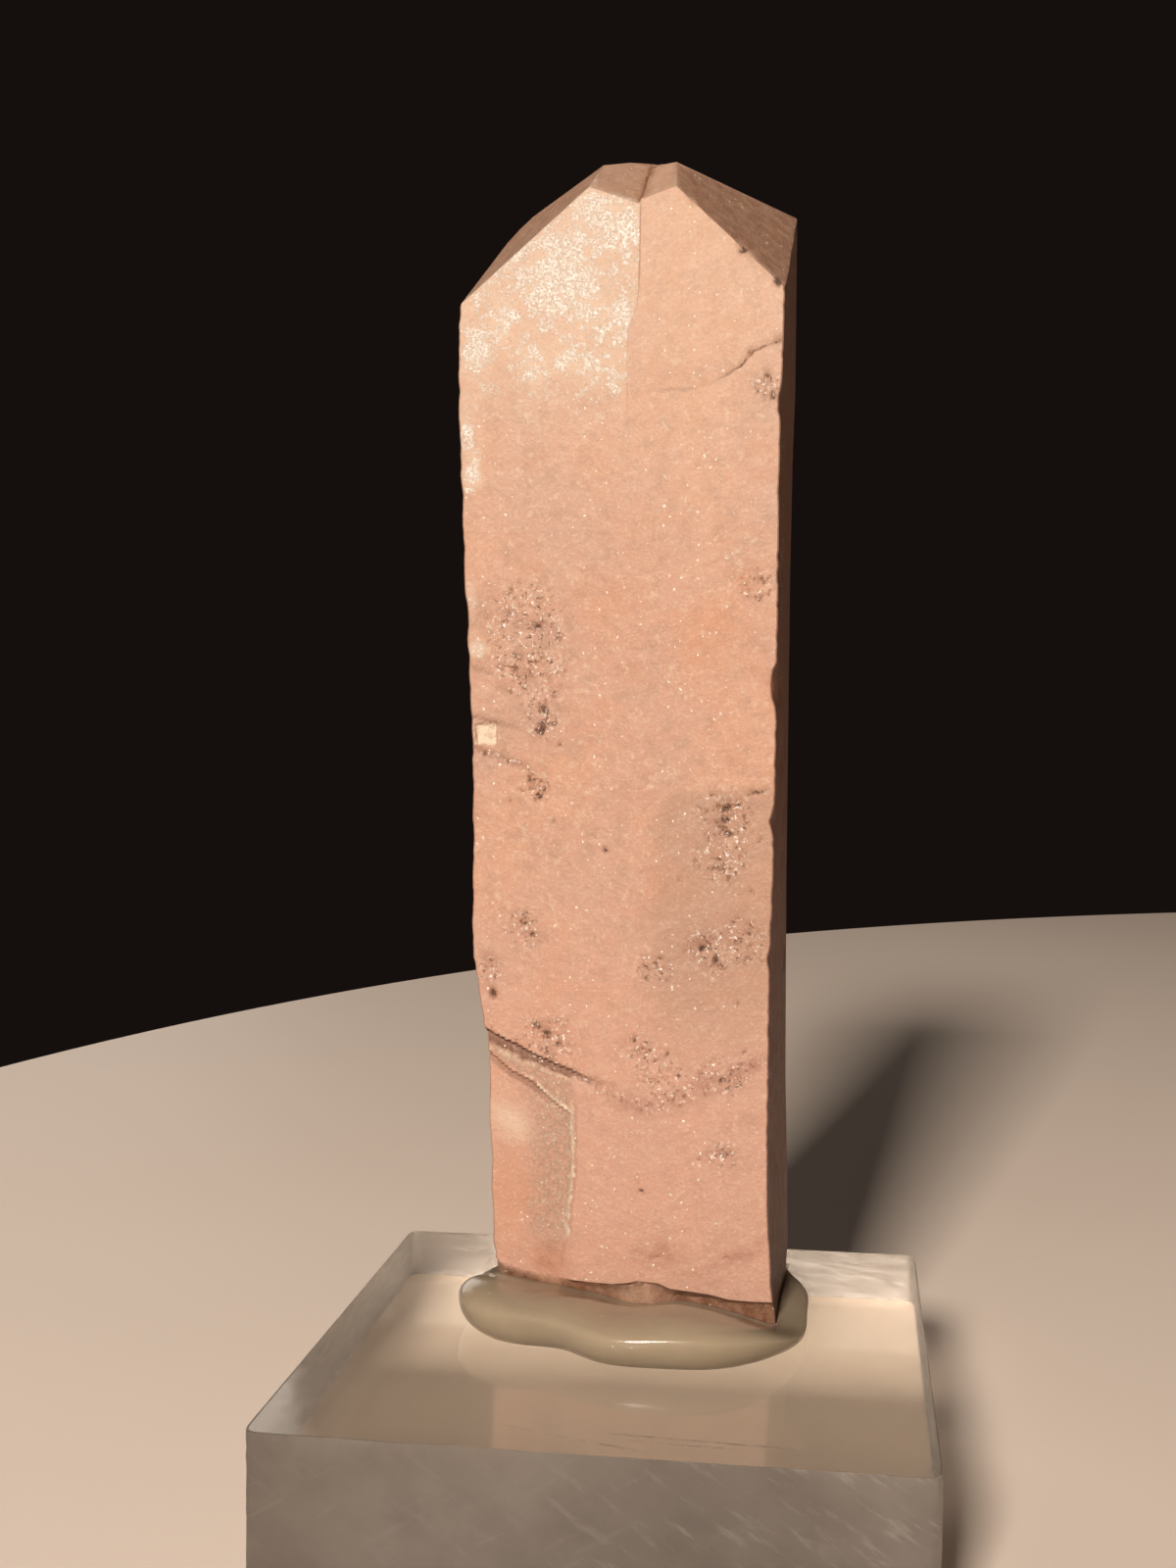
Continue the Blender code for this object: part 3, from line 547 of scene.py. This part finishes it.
def capMesh(ring, heightAt, spacing, creases, ruffle, seed):
    # flat triangulation of the ring with the creases kept as edges, lifted to heightAt(u, v)
    ringCount = len(ring)
    points = [tuple(p) for p in ring]

    def pointFor(p):
        gap = np.hypot(ring[:, 0] - p[0], ring[:, 1] - p[1])
        if gap.min() < 0.3:
            return int(gap.argmin())
        for k in range(ringCount, len(points)):
            if hypot(points[k][0] - p[0], points[k][1] - p[1]) < 0.05:
                return k
        points.append((float(p[0]), float(p[1])))
        return len(points) - 1

    edges = [(pointFor(start), pointFor(end)) for start, end in creases]
    edges = [(a, b) for a, b in edges if a != b]
    low, high = ring.min(0) + 0.3, ring.max(0) - 0.2
    gu, gv = np.meshgrid(np.arange(low[0], high[0], spacing), np.arange(low[1], high[1], spacing))
    random = np.random.default_rng(seed)
    inner = np.stack([gu.ravel(), gv.ravel()], -1) + random.uniform(-0.3, 0.3, (gu.size, 2)) * spacing
    keep = fromOutline(inner, ring) > spacing * 0.55
    for start, end in creases:
        d = np.array(end) - np.array(start)
        t = np.clip(((inner - start) @ d) / max(d @ d, 1e-9), 0, 1)
        keep = keep & (np.hypot(*(inner - (np.array(start) + t[:, None] * d)).T) > spacing * 0.35)
    points += [tuple(p) for p in inner[keep]]
    flat, _, triangles, origins, _, _ = delaunay_2d_cdt([Vector(p) for p in points], edges, [list(range(ringCount))],
                                                        1, 1e-6)
    flat = np.array([p[:] for p in flat])
    fromRing = np.array([next((s for s in source if s < ringCount), -1) for source in origins])
    z = heightAt(flat[:, 0], flat[:, 1])
    z = z + ruffle * layered(flat[:, 0] * 0.9, flat[:, 1] * 0.9, seed + 3) * ramp(0, 0.8, fromOutline(flat, ring))
    return flat, z, triangles, fromRing


def buildCrystal():
    # six walls round a ring, each row of it between the foot and the end planes, moved in by the relief;
    # the two ends are flat triangulations of the rim lifted to the end planes and to the broken foot
    cs = crystalSet
    kinds = np.concatenate([np.full(c, k) for k, c in enumerate(cs["columns"])])
    f = np.concatenate([np.linspace(0, 1, c) for c in cs["columns"]])
    top, foot = np.full(f.shape, 75), np.full(f.shape, 2.5)
    for _ in range(5):
        top = endHeight(*wallPoint(kinds, f, top))
        foot = footHeight(*wallPoint(kinds, f, foot))
    z = foot + (top - foot) * np.linspace(0, 1, cs["rows"])[:, None]
    u, v = wallPoint(kinds, f, z)
    kind, along = np.broadcast_to(kinds, z.shape), np.broadcast_to(f, z.shape)
    front, sides = kind < 2, [kind == 2, kind == 5]
    depth, masks = frontRelief(u, z)
    plainDepth, sidePits, sideMottle = sideRelief(kind, along, z)
    depth = np.where(front, depth, plainDepth * ramp(0, 0.12, along) * ramp(0, 0.12, 1 - along))
    lastFront = cs["columns"][0] + cs["columns"][1] - 1
    v = v + np.select(sides, [depth[:, lastFront:lastFront + 1] * ramp(0.16, 0, along),
                              depth[:, :1] * ramp(0.8, 1, along)], 0)
    u = u + np.select(sides, [-depth, depth], 0)
    v = v + np.select([front, (kind == 3) | (kind == 4)], [depth, -depth], 0)
    masks = {k: np.where(front, m, 9 if k.startswith("gap") else 0) for k, m in masks.items()}
    for key, mask in (("pit", sidePits), ("mottle", sideMottle), ("band", z + 100), ("across", along * 12 + 40 * kind)):
        masks[key] = np.where(front, masks[key], mask)
    masks["end"] = np.zeros_like(z)
    # the sides are painted browner, the right side most: partly their own tone, partly painted shade where the lamp
    # does not reach
    masks["side"] = np.select([*sides, kind > 2], [0.82, 0.25, 0.15], 0)
    masks["level"] = z / 80

    grid = np.arange(z.size).reshape(z.shape)
    after = np.roll(grid, -1, axis=1)
    faces = np.stack([grid[:-1], after[:-1], after[1:], grid[1:]], -1).reshape(-1, 4).tolist()
    us, vs, zs = [u.ravel()], [v.ravel()], [z.ravel()]
    extra = {k: [m.ravel()] for k, m in masks.items()}
    count = z.size

    seam, thick = seamAt(77), cs["thick"]
    lines = endCreases("leftEnd", -13, seam) + endCreases("rightEnd", seam, 12)
    onSeam = sorted({round(p[1], 3) for line in lines for p in line if abs(p[0] - seam) < 0.02})
    stops = [0] + [s for s in onSeam if 0.4 < s < thick - 0.4] + [thick]
    parts = [np.linspace(a, b, int((b - a) / 0.45) + 2)[:-1] for a, b in zip(stops[:-1], stops[1:])]
    stops = np.concatenate(parts + [[thick]])
    lines += [((seam, a), (seam, b)) for a, b in zip(stops[:-1], stops[1:])]
    for row, up, *how in ((cs["rows"] - 1, True, endHeight, 0.42, lines, 0.014, 31),
                          (0, False, footHeight, 0.34, [], 0.04, 41)):
        flat, height, triangles, fromRing = capMesh(np.stack([u[row], v[row]], -1), *how)
        index = np.where(fromRing >= 0, grid[row][np.maximum(fromRing, 0)], 0)
        fresh = fromRing < 0
        index[fresh] = count + np.arange(fresh.sum())
        count += int(fresh.sum())
        fu, fv = flat[fresh].T
        for stock, values in ((us, fu), (vs, fv), (zs, height[fresh])):
            stock.append(values)
        # the ends are painted brown plane by plane with painted shade; the broken foot is brown all over, its own tone
        # plus painted shade under the overhang, lighter near u = 0.6
        shade = endShade(fu, fv) if up else 1 - 0.65 * bump2d(fu, 0, 0.6, 0, 1.9, 1)
        chips = bump2d(fu, fv, 7.5, 0.2, 0.42, 0.4) + bump2d(fu, fv, 9.7, 0.3, 0.34, 0.45) if up else 0
        for key in extra:
            fill = {"end": shade, "band": 200, "pit": chips, "level": 0.9}.get(key, 9 if key.startswith("gap") else 0)
            extra[key].append(np.zeros(len(fu)) + fill)
        for tri in triangles:
            a, b, c = flat[tri]
            leftTurn = (b[0] - a[0]) * (c[1] - a[1]) - (b[1] - a[1]) * (c[0] - a[0]) > 0
            faces.append([int(index[k]) for k in (tri if leftTurn == up else tri[::-1])])
    # from the crystal's frame (right, back, up from the block's top) to the shared frame
    x, y = turned(np.concatenate(us), np.concatenate(vs), cs["turn"])
    points = np.stack([x, y, np.concatenate(zs) + blockTop], -1)
    return points, faces, {k: np.concatenate(m) for k, m in extra.items()}


feldsparSet = {
    "peach": (185, 142, 118), "cool": (178, 141, 123), "orange": (183, 128, 94),
    # the pale frost tint also paints glints and sparkles of light
    "grey": (156, 123, 104), "cream": (207, 187, 166), "frostGlint": (231, 228, 221),
    # the end brown is partly painted shade
    "brown": (104, 68, 49), "pitBrown": (68, 42, 29), "endBrownAndShade": (122, 80, 55),
    # the side brown is partly painted shade
    "redBrown": (130, 78, 57), "sideBrownAndShade": (92, 40, 30),
    # the chip tint also paints highlights on lit edges
    "pink": (190, 147, 130), "stripGrey": (169, 133, 116), "chip": (210, 196, 176),
    "sparkle": (2.6, 0.18, 0.24), "speck": (2.6, 0.17, 0.2),
}


def makeFeldspar(fs):
    mat, n, shader, where = newMaterial("feldspar")
    swirl = n.add("TexNoise", Vector=where, Scale=5, Detail=2).outputs["Color"]
    warped = n.add("VectorMath", {"operation": "MULTIPLY_ADD"}, in_0=swirl, in_1=(0.34, 0.34, 0.34), in_2=where)
    warped = warped.outputs[0]
    paint = Paint(n, fs, "peach")
    lay, at, band, noise = paint.lay, n.attribute, n.band, n.noise

    # broad fields of peach, orange and grey, growth streaks and sandy grain
    lay("cool", band(noise(0.085, 3), 0.36, 0.64))
    lay("orange", band(noise(0.2, 4, 0.6), 0.5, 0.74) * 0.38)
    lay("grey", band(noise(0.9, 6, 0.72), 0.46, 0.66) * 0.52)
    lay("cream", band(noise(1.7, 6, 0.74), 0.53, 0.68) * 0.46)
    # painted light: paler towards the top, where the lamp's light falls stronger; pinker towards the foot
    lay("cream", band(at("level"), 0.55, 0.98, 0, 0.34))
    lay("pink", band(at("level"), 0.48, 0.1, 0, 0.5))
    lay("grey", at("cool") * 0.58)
    streak = noise(1, 6, 0.72, n.add("CombineXYZ", X=at("band") * 1.5, Y=at("across") * 0.42).outputs[0])
    lay("cream", band(streak, 0.5, 0.78, 0, 0.28))
    lay("grey", band(streak, 0.46, 0.26, 0, 0.26))
    lay("orange", at("warm") * 0.55)
    lay("cream", at("pale") * 0.6)
    sand = noise(5, 3, 0.7)
    lay("cream", band(sand, 0.52, 0.7, 0, 0.3))
    lay("grey", band(sand, 0.47, 0.3, 0, 0.26))

    # brown mottles, smudges and the shadowed ledges; the sides and ends browner, partly their own tone and partly
    # painted shade
    lay("brown", band(noise(1.5, 6, 0.72), 0.46, 0.66) * at("mottle") * 0.36)
    lay("redBrown", at("smudge") * band(noise(1.1, 5, 0.7), 0.38, 0.62, 0.3, 1) * 0.58)
    lay("brown", at("ledge") * 0.7)
    lay("sideBrownAndShade", at("side") * 0.8)
    lay("endBrownAndShade", at("end") * band(noise(1.2, 6, 0.7), 0.34, 0.66, 0.6, 1))

    # painted glint on the upper left: a paler ground and frosty flakes, with painted shade of grain between them; the
    # grainy strip beside the step
    frostGlint, grainy = at("frostGlint"), at("grainy")
    fine = noise(6.2, 5, 0.82)
    glintFlakes = band(noise(1.15, 6, 0.74) + frostGlint * 0.2, 0.57, 0.685)
    glintFlakes = glintFlakes * band(fine, 0.41, 0.57, 0.14, 1) * band(frostGlint, 0.02, 0.45)
    lay("cream", band(frostGlint, 0.05, 0.8) * 0.62)
    lay("frostGlint", glintFlakes)
    lay("grey", band(fine, 0.46, 0.37) * band(frostGlint, 0.05, 0.6, 0, 0.6))
    lay("stripGrey", grainy * 0.38)
    grain = noise(3, 5, 0.8)
    grains = grainy * band(grain, 0.5, 0.6)
    lay("cream", grains * 0.85)
    lay("brown", grainy * band(grain, 0.43, 0.34, 0, 0.6))

    # lines drawn from the distances kept in the mesh, roughened by a fine noise: ledges, step, crack and seam
    x, _, z = n.parts(where)
    ragged = noise(1.7, 5, 0.74) - 0.5
    litChips = band(noise(1.9, 4, 0.7), 0.4, 0.54)

    def between(gap, low, high, soft):
        # 1 between low and high, easing to 0 over soft
        return band(gap, low - soft, low + soft) * band(gap, high + soft, high - soft)

    def roughened(name, much):
        return at(name) + ragged * much

    one, two, step = roughened("gapOne", 0.8), roughened("gapTwo", 0.6), roughened("gapStep", 0.9)
    one = n.math("DIVIDE", one, band(x, -9.6, -2.4, 1.75, 0.95))    # wider on the left
    # painted shadow: dark bands under the two ledges and beside the step
    first = between(one, -0.04, 0.5, 0.1) * band(x, -1.2, -4.2)
    second = between(two, 0.02, 0.66, 0.16) * band(x, -5.2, -6.6, 0, 0.6)
    beside = between(step, -0.22, -0.08, 0.07) * band(z, 18.5, 20, 0, 0.38) * band(z, 29.5, 27.5)
    lay("brown", (first | second | beside) * 0.8)
    # painted highlight in the pale chip tint where light catches the broken edges: the ridge under the upper ledge, the
    # rim of the lower one and the upright step wall; the square cleaved spot is tinted pale too
    ridge = between(one, 0.62, 0.76, 0.07) * band(x, -3, -4.4, 0, 0.6)
    rim = between(two, -0.3, 0.02, 0.07) * band(x, -7.6, -6.2) * band(x, -3.6, -3.85)
    upright = between(step, 0.02, 0.3, 0.07) * band(z, 18.6, 19.4) * band(z, 28.6, 27.4)
    lit = (ridge | rim) * litChips | upright * band(litChips, 0, 1, 0.45, 1)
    slab = band(roughened("gapSlab", 0.75), 0.08, -0.08) * band(noise(2.2, 4, 0.7), 0.4, 0.52, 0.45, 1)
    lay("chip", (lit | slab) * 0.92)
    crack = between(roughened("gapCrack", 0.6), -0.1, 0.1, 0.1)
    crack = crack * (band(x, 0.4, 2.4, 0, 0.3) + band(x, 5.2, 7.6, 0, 0.6))
    crack = crack * band(noise(1.1, 3), 0.38, 0.6, 0.35, 1)
    seamLine = between(roughened("gapSeam", 0.1), -0.03, 0.03, 0.05)
    seamLine = seamLine * (band(z, 73, 76, 0, 0.25) + band(z, 81, 84, 0, 0.4))
    lay("brown", crack | seamLine)

    # scattered dark specks and pits, and painted glints: bright sparkles of light off cleavage facets
    specks, shade = n.spots(warped, *fs["speck"])
    dense = band(noise(2.7, 5, 0.74, warped), 0.57, 0.645) * band(at("mottle"), 0.1, 0.85)
    dark = specks * band(shade, 0.2, 1, 0.2, 0.75) | dense * 0.85
    lay("brown", dark)
    pit = at("pit") * 1.15
    torn = (noise(3.6, 4, 0.75) - 0.5) * 1.9
    pit = band(pit + torn * band(pit, 0.02, 0.3), 0.22, 1.05)
    lay("pitBrown", pit * 0.88)
    sparkles, shade = n.spots(warped, *fs["sparkle"])
    glints = band(noise(3.6, 4, 0.72, warped), 0.585, 0.65) * band(at("mottle"), 0.1, 0.8, 0, 0.95)
    lay("frostGlint", sparkles * band(shade, 0.2, 1, 0.25, 1) | glints)

    rough = band(noise(0.8, 4), 0.3, 0.7, 0.48, 0.64) - glintFlakes * 0.22
    n.fill(shader, Base_Color=paint.colour, Roughness=n.math("ADD", rough, pit * 0.25, clamp=True), IOR=1.52,
           Subsurface_Weight=0.1, Subsurface_Radius=(1, 0.45, 0.25), Subsurface_Scale=0.001)
    height = noise(2.8, 7, 0.66) * 0.8 + streak * 0.45 + sand * 0.35 + glintFlakes * 0.3 + grains * 0.8
    n.relief(shader, height - dark * 0.6, 0.62, 0.00016)
    return mat


finishPiece("crystalBody", buildCrystal(), makeFeldspar(feldsparSet), "crystal", 32)
print("crystal made")


def closeRings(rings, firstZ, lastZ, middle=(0, 0), flip=False):
    # rings of points, each (x, y, z), joined by quads and closed at both ends by a fan round a middle point
    x, y, z = (np.array([r[k] for r in rings]) for k in range(3))
    grid = np.arange(x.size).reshape(x.shape)
    after = np.roll(grid, -1, axis=1)
    faces = np.stack([grid[:-1], after[:-1], after[1:], grid[1:]], -1).reshape(-1, 4).tolist()
    faces += [[x.size, b, a] for a, b in zip(grid[0].tolist(), after[0].tolist())]
    faces += [[x.size + 1, a, b] for a, b in zip(grid[-1].tolist(), after[-1].tolist())]
    points = np.vstack([np.stack([x, y, z], -1).reshape(-1, 3), [*middle, firstZ], [*middle, lastZ]])
    return points, [f[:1] + f[:0:-1] for f in faces] if flip else faces


puttySet = {
    "centre": (0.2, 3.1), "halfWide": 11.9, "halfDeep": 11,
    "pinch": 0.21, "pinchAngle": 238, "gap": 0.05, "rear": 1.4, "waist": 2, "edge": 2.6,
    "crest": ((-12, 0), (-6, 0.1), (0, 1.2), (5, 1.2), (9, 1.15), (12, 0.9)),
    "contact": ((-12, 3.2), (-8.9, 3.42), (-6.6, 3), (-4.9, 2.8), (-3.5, 2.5), (-1.9, 2.2), (-0.1, 1.65), (0.9, 1.6),
                (2.6, 1.95), (3.9, 2.05), (6.1, 1.78), (7.8, 1.5), (8.9, 1.15), (9.7, 0.85), (10.4, 1), (12, 1.2)),
    "angles": 288, "inner": 30, "flatRows": 22, "edgeRows": 26, "evenOver": 24,
    "tint": (155, 143, 123), "cloudTint": (148, 136, 117), "dust": (236, 226, 206),
}


def buildPutty():
    # rings from the middle out: a floor that follows the crystal's foot, a step up at the foot's
    # outline, then radius sin(a) and height cos(a) of a squashed round edge that turns under to the block
    ps = puttySet
    centreX, centreY = ps["centre"]
    angle = np.linspace(-pi, pi, ps["angles"], endpoint=False)

    def toCrystal(x, y):
        return turned(x, y, -crystalSet["turn"])

    def angleFrom(degrees):
        return (angle - radians(degrees) + pi) % (2 * pi) - pi

    across = np.abs(np.cos(angle) / ps["halfWide"]) ** 3 + np.abs(np.sin(angle) / ps["halfDeep"]) ** 3
    pinched = 1 - ps["pinch"] * bell(angleFrom(ps["pinchAngle"]), 0.38) - 0.05 * bell(angleFrom(140), 0.5)
    outer = across ** (-1 / 3) * pinched * (1 + 0.01 * np.sin(7 * angle + 0.7) * np.sin(3 * angle))

    # the foot's outline, seen from the pad's centre, grown by the gap
    du, dv = toCrystal(np.cos(angle), np.sin(angle))
    cu, cv = toCrystal(centreX, centreY)
    reachU = np.where(du > 0, 10.02 + ps["gap"] - cu, -9.4 - ps["gap"] - cu) / np.where(np.abs(du) < 1e-9, 1e-9, du)
    rear = crystalSet["thick"] + ps["gap"] + 0.02
    reachV = np.where(dv > 0, rear - cv, -0.05 - cv) / np.where(np.abs(dv) < 1e-9, 1e-9, dv)
    inner = np.minimum(reachU, reachV)

    def dome(x, y):
        # the height along the contact line in front, easing into a lower height behind
        u, v = toCrystal(x, y)
        line, crest = (np.interp(u, *np.transpose(ps[key])) for key in ("contact", "crest"))
        behind = ramp(-0.5, 6, v)
        front = line + crest * ramp(0.2, -3.6, v)
        return front * (1 - behind) + ps["rear"] * behind + 0.05 * lattice(x * 0.3, y * 0.3, 51)

    def ringAt(reach):
        return centreX + np.cos(angle) * reach, centreY + np.sin(angle) * reach

    rows = []
    for k in range(1, ps["inner"] + 1):
        x, y = ringAt(inner * (k / ps["inner"]) ** 0.8)
        u, v = toCrystal(x, y)
        floorZ = footHeight(u, np.maximum(v, 0)) - ps["gap"] - 0.06
        rows.append((x, y, np.clip(np.minimum(dome(x, y), floorZ), 0.12, None)))
    wide, near = outer - inner, ps["evenOver"]
    spread = bell(np.arange(-near, near + 1), 9)

    def evened(values):
        # a moving mean around the pad
        return np.convolve(np.concatenate([values[-near:], values, values[:near]]), spread / spread.sum(), "valid")

    size = np.abs(wide)
    flat = 1 - np.minimum(evened(np.minimum(ps["edge"], 0.8 * size)), 0.93 * size) / size
    rimHeight = dome(*ringAt(inner + wide * flat))
    height = evened(rimHeight)
    for k in range(ps["flatRows"] + 1):
        share = k / ps["flatRows"]
        x, y = ringAt(inner + wide * flat * share)
        z = dome(x, y) + (height - rimHeight) * share ** 2
        rows.append((x, y, np.maximum(z, rows[-1][2]) if k == 0 else z))
    waist = np.minimum(ps["waist"], 0.25 + 0.57 * height)
    for k in range(1, ps["edgeRows"] + 1):
        a = radians(150) * k / ps["edgeRows"]
        down = 1 - cos(a)
        z = waist + (height - waist) * cos(a) if down <= 1 else waist - (waist - 0.02) * (down - 1) / 0.866
        rows.append((*ringAt(inner + wide * (flat + (1 - flat) * sin(a))), z))
    topZ = rows[0][2].mean() + blockTop
    rows = [(x, y, z + blockTop) for x, y, z in rows]
    return *closeRings(rows, topZ, blockTop + 0.02, ps["centre"], flip=True), {}


def makePuttyMaterial(ps):
    mat, n, shader, where = newMaterial("clearPutty", 0.55)
    paint = Paint(n, ps, "tint")
    paint.lay("cloudTint", n.band(n.noise(0.25, 3), 0.3, 0.7))
    paint.lay("dust", n.spots(where, 0.9, 0.05, 0.25)[0] * 0.6)
    n.fill(shader, Base_Color=paint.colour, Roughness=n.band(n.noise(1.2, 4), 0.3, 0.75, 0.14, 0.24),
           IOR=1.46, Transmission_Weight=0.04, Subsurface_Weight=0.8, Subsurface_Radius=(1, 0.8, 0.6),
           Subsurface_Scale=0.0035)
    n.relief(shader, n.noise(0.7, 3), 0.12, 0.0002)
    return mat


finishPiece("puttyBody", buildPutty(), makePuttyMaterial(puttySet), "putty_pad", 60)
print("putty made")


blockSet = {
    "half": 20, "height": blockTop, "edge": 0.05, "nicks": (0.012, 0.006),
    "sideColumns": 120, "sideRows": 26, "topRings": 10,
    "frosted": (190, 180, 170), "frostedDark": (166, 156, 147), "frostedLight": (226, 219, 212),
    # the darker rear tint is painted shade on the side and back walls
    "frostedSidesShade": (116, 107, 99), "clear": (238, 233, 224), "dust": (214, 200, 184),
    "scratchTone": (120, 100, 84), "topPass": 0.9, "sidePass": (0.1, 0.1, 0.1, 1),
    "scratches": ((-5.5, -16.5, 4.2, -19.3, 0.16), (0.6, -16.8, 13.6, -17.4, 0.18), (2, -17.6, 9, -17.9, 0.12)),
}


def buildBlock():
    # a rounded square carried along an upright profile: foot, foot edge, sawn side, chipped upper edge, top
    bs = blockSet
    edge, top, half = bs["edge"], bs["height"], bs["half"]
    side = np.linspace(-1, 1, bs["sideColumns"], endpoint=False)
    squareX, squareY = np.concatenate([turned(side, -np.ones_like(side), 90 * k) for k in range(4)], axis=1)
    size = (np.abs(squareX) ** 60 + np.abs(squareY) ** 60) ** (-1 / 60)
    squareX, squareY = squareX * size, squareY * size
    run = np.arange(len(squareX)) * 2 * half / bs["sideColumns"]
    nicks = np.where((squareY < -0.97) & (np.abs(squareX) < 0.985), *bs["nicks"])
    nick = np.maximum(0, layered(run * 0.55, 0, 81, 4) + 0.1) * nicks
    nickDown = np.maximum(0, layered(run * 0.6, 9, 82, 4)) * nicks
    rings = []

    def ring(reach, z):
        rings.append((squareX * reach, squareY * reach, z + 0 * run))

    for s in np.linspace(1, 0, bs["topRings"] + 1)[1:]:
        ring(half - edge - (half - edge) * s * 0.985, 0)
    ring(half - edge * 0.15, edge * 0.3)
    for s in np.linspace(0, 1, bs["sideRows"]):
        z = edge + (top - 2 * edge - nickDown) * s
        ring(half - np.abs(0.035 * layered(run * 0.35 + z * 0.5, z * 0.9 - run * 0.45, 83, 3)), z)
    ring(half - 0.4 * (edge + nick), top - 0.35 * (edge + nickDown))
    ring(half - edge - nick, top)
    for s in np.linspace(0, 1, bs["topRings"] + 1)[:-1]:
        ring((half - edge - 0.1) * (1 - s), top)
    sawn = np.zeros((len(rings), len(run)))
    sawn[bs["topRings"]:bs["topRings"] + bs["sideRows"] + 3] = 1
    return *closeRings(rings, 0, top), {"sawn": np.append(sawn, [0, 0])}


def makeAcrylic(bs):
    mat, n, shader, where = newMaterial("clearAcrylic", bs["topPass"])
    band, noise = n.band, n.noise
    sawn = n.attribute("sawn")
    for node in n.tree.nodes:
        if node.bl_idname == "ShaderNodeBsdfTransparent":  # the sawn sides let less light through
            n.fill(node, Color=n.mix(sawn, (bs["topPass"],) * 3 + (1,), bs["sidePass"]))

    # faint slanting saw streaks on the sides, in light and dark; Scale is their length and width in mm
    marks, marksBack = (
        noise(1, 5, 0.66, n.add("Mapping", {"vector_type": "TEXTURE"}, Vector=where, Rotation=(0, radians(lean), 0),
                                Scale=scale).outputs[0]) for lean, scale in ((34, (3.8, 4, 0.8)), (-30, (7, 4, 0.7))))
    x, y, _ = n.parts(where)
    zone = band(x + noise(0.2, 3) * 12, 2, 9, 0.15, 1)
    frosted = Paint(n, bs, "frosted")
    frosted.lay("frostedDark", band(noise(0.22, 4), 0.3, 0.7))
    # painted shade: every sawn wall but the front is painted darker
    frosted.lay("frostedSidesShade", band(y, -19.6, -19, 0, 0.85))
    frosted.lay("frostedLight", band(marks, 0.52, 0.68) * zone * 0.85)
    frosted.lay("frostedLight", band(marksBack, 0.56, 0.72) * 0.3)
    frosted.lay("frostedDark", band(marks, 0.44, 0.28) * 0.3)

    # hairline scratches on the top: distance from a straight line, faded at its ends
    scratched = Value(n, 0)
    for x0, y0, x1, y1, wide in bs["scratches"]:
        rise = (y1 - y0) / (x1 - x0)
        away = n.math("ABSOLUTE", y - (x * rise + (y0 - rise * x0)))
        scratched = scratched | band(away, wide, 0) * band(x, x0, x0 + 1.5) * band(x, x1, x1 - 1.5)
    scratched = scratched * band(noise(1.6, 3), 0.34, 0.52) * n.math("SUBTRACT", 1, sawn)

    paint = Paint(n, {**bs, "sawn": frosted.colour}, "clear")
    paint.lay("sawn", sawn)
    paint.lay("dust", n.spots(where, 0.55, 0.035, 0.35)[0] * 0.5)
    paint.lay("scratchTone", scratched * 0.75)
    smear = band(noise(0.4, 4), 0.35, 0.75, 0.07, 0.15) + scratched * 0.4
    rough = n.math("ADD", smear, sawn * band(marks, 0.3, 0.7, 0.48, 0.6), clamp=True)
    n.fill(shader, Base_Color=paint.colour, Roughness=rough, IOR=1.49, Specular_IOR_Level=0.14,
           Transmission_Weight=0.92)
    n.relief(shader, (marks * 0.7 + noise(1.8, 3) * 0.3) * sawn, 0.3, 0.00012)
    return mat


finishPiece("blockBody", buildBlock(), makeAcrylic(blockSet), "display_block", 35)
print("block made")


studioSet = {
    "floor": (253, 239, 226), "cloudy": (244, 228, 214), "floorCentre": (264, 36), "floorRadius": 391,
    "key": {"place": (-128, -802, 432), "size": 132, "watts": 11.7, "colour": (1, 0.86, 0.74)},
    "rear": {"place": (-300, 460, 150), "size": 240, "watts": 0.3, "colour": (1, 0.9, 0.8)},
    "target": (0, 0, 45), "world": (0.0135, 0.0102, 0.0088, 1), "backdrop": (0.0075, 0.005, 0.0042, 1),
}


def makeFloor(st):
    # a pale round table: a fan of points at one radius about its centre
    angle = np.linspace(0, 2 * pi, 256, endpoint=False)
    x = (st["floorCentre"][0] + st["floorRadius"] * np.cos(angle)) * mm
    y = (st["floorCentre"][1] + st["floorRadius"] * np.sin(angle)) * mm
    rim = np.stack([x, y, np.full(angle.shape, -0.00002)], -1)
    mesh = bpy.data.meshes.new("table")
    mesh.from_pydata(rim.tolist(), [], [list(range(len(angle)))])
    mat, n, shader, where = newMaterial("paleTable")
    paint = Paint(n, st, "floor")
    paint.lay("cloudy", n.band(n.noise(0.012, 4), 0.3, 0.7) * 0.25)
    n.fill(shader, Base_Color=paint.colour, Roughness=0.6)
    mesh.materials.append(mat)
    floor = addObject("table", mesh)


def addLight(name, ls, target):
    data = bpy.data.lights.new(name, "AREA")
    data.shape = "SQUARE"
    data.size = ls["size"] * mm
    data.energy = ls["watts"]
    data.color = ls["colour"]
    lamp = addObject(name, data)
    lamp.location = Vector(ls["place"]) * mm
    aim = (Vector(target) - Vector(ls["place"])).normalized()
    lamp.rotation_euler = aim.to_track_quat("-Z", "Y").to_euler()


def makeWorld(st):
    # the camera sees a dark backdrop; everything else gets a weak even light
    world = bpy.data.worlds.new("studio")
    world.use_nodes = True
    world.node_tree.nodes.clear()
    n = Nodes(world.node_tree)
    seen = n.add("LightPath").outputs["Is Camera Ray"]
    background = n.add("Background", Color=n.mix(seen, st["world"], st["backdrop"]))
    n.add("OutputWorld", Surface=background.outputs[0])
    bpy.context.scene.world = world


makeFloor(studioSet)
for light in ("key", "rear"):
    addLight(light, studioSet[light], studioSet["target"])
makeWorld(studioSet)
bpy.context.scene.view_settings.view_transform = "Standard"
print("studio made")
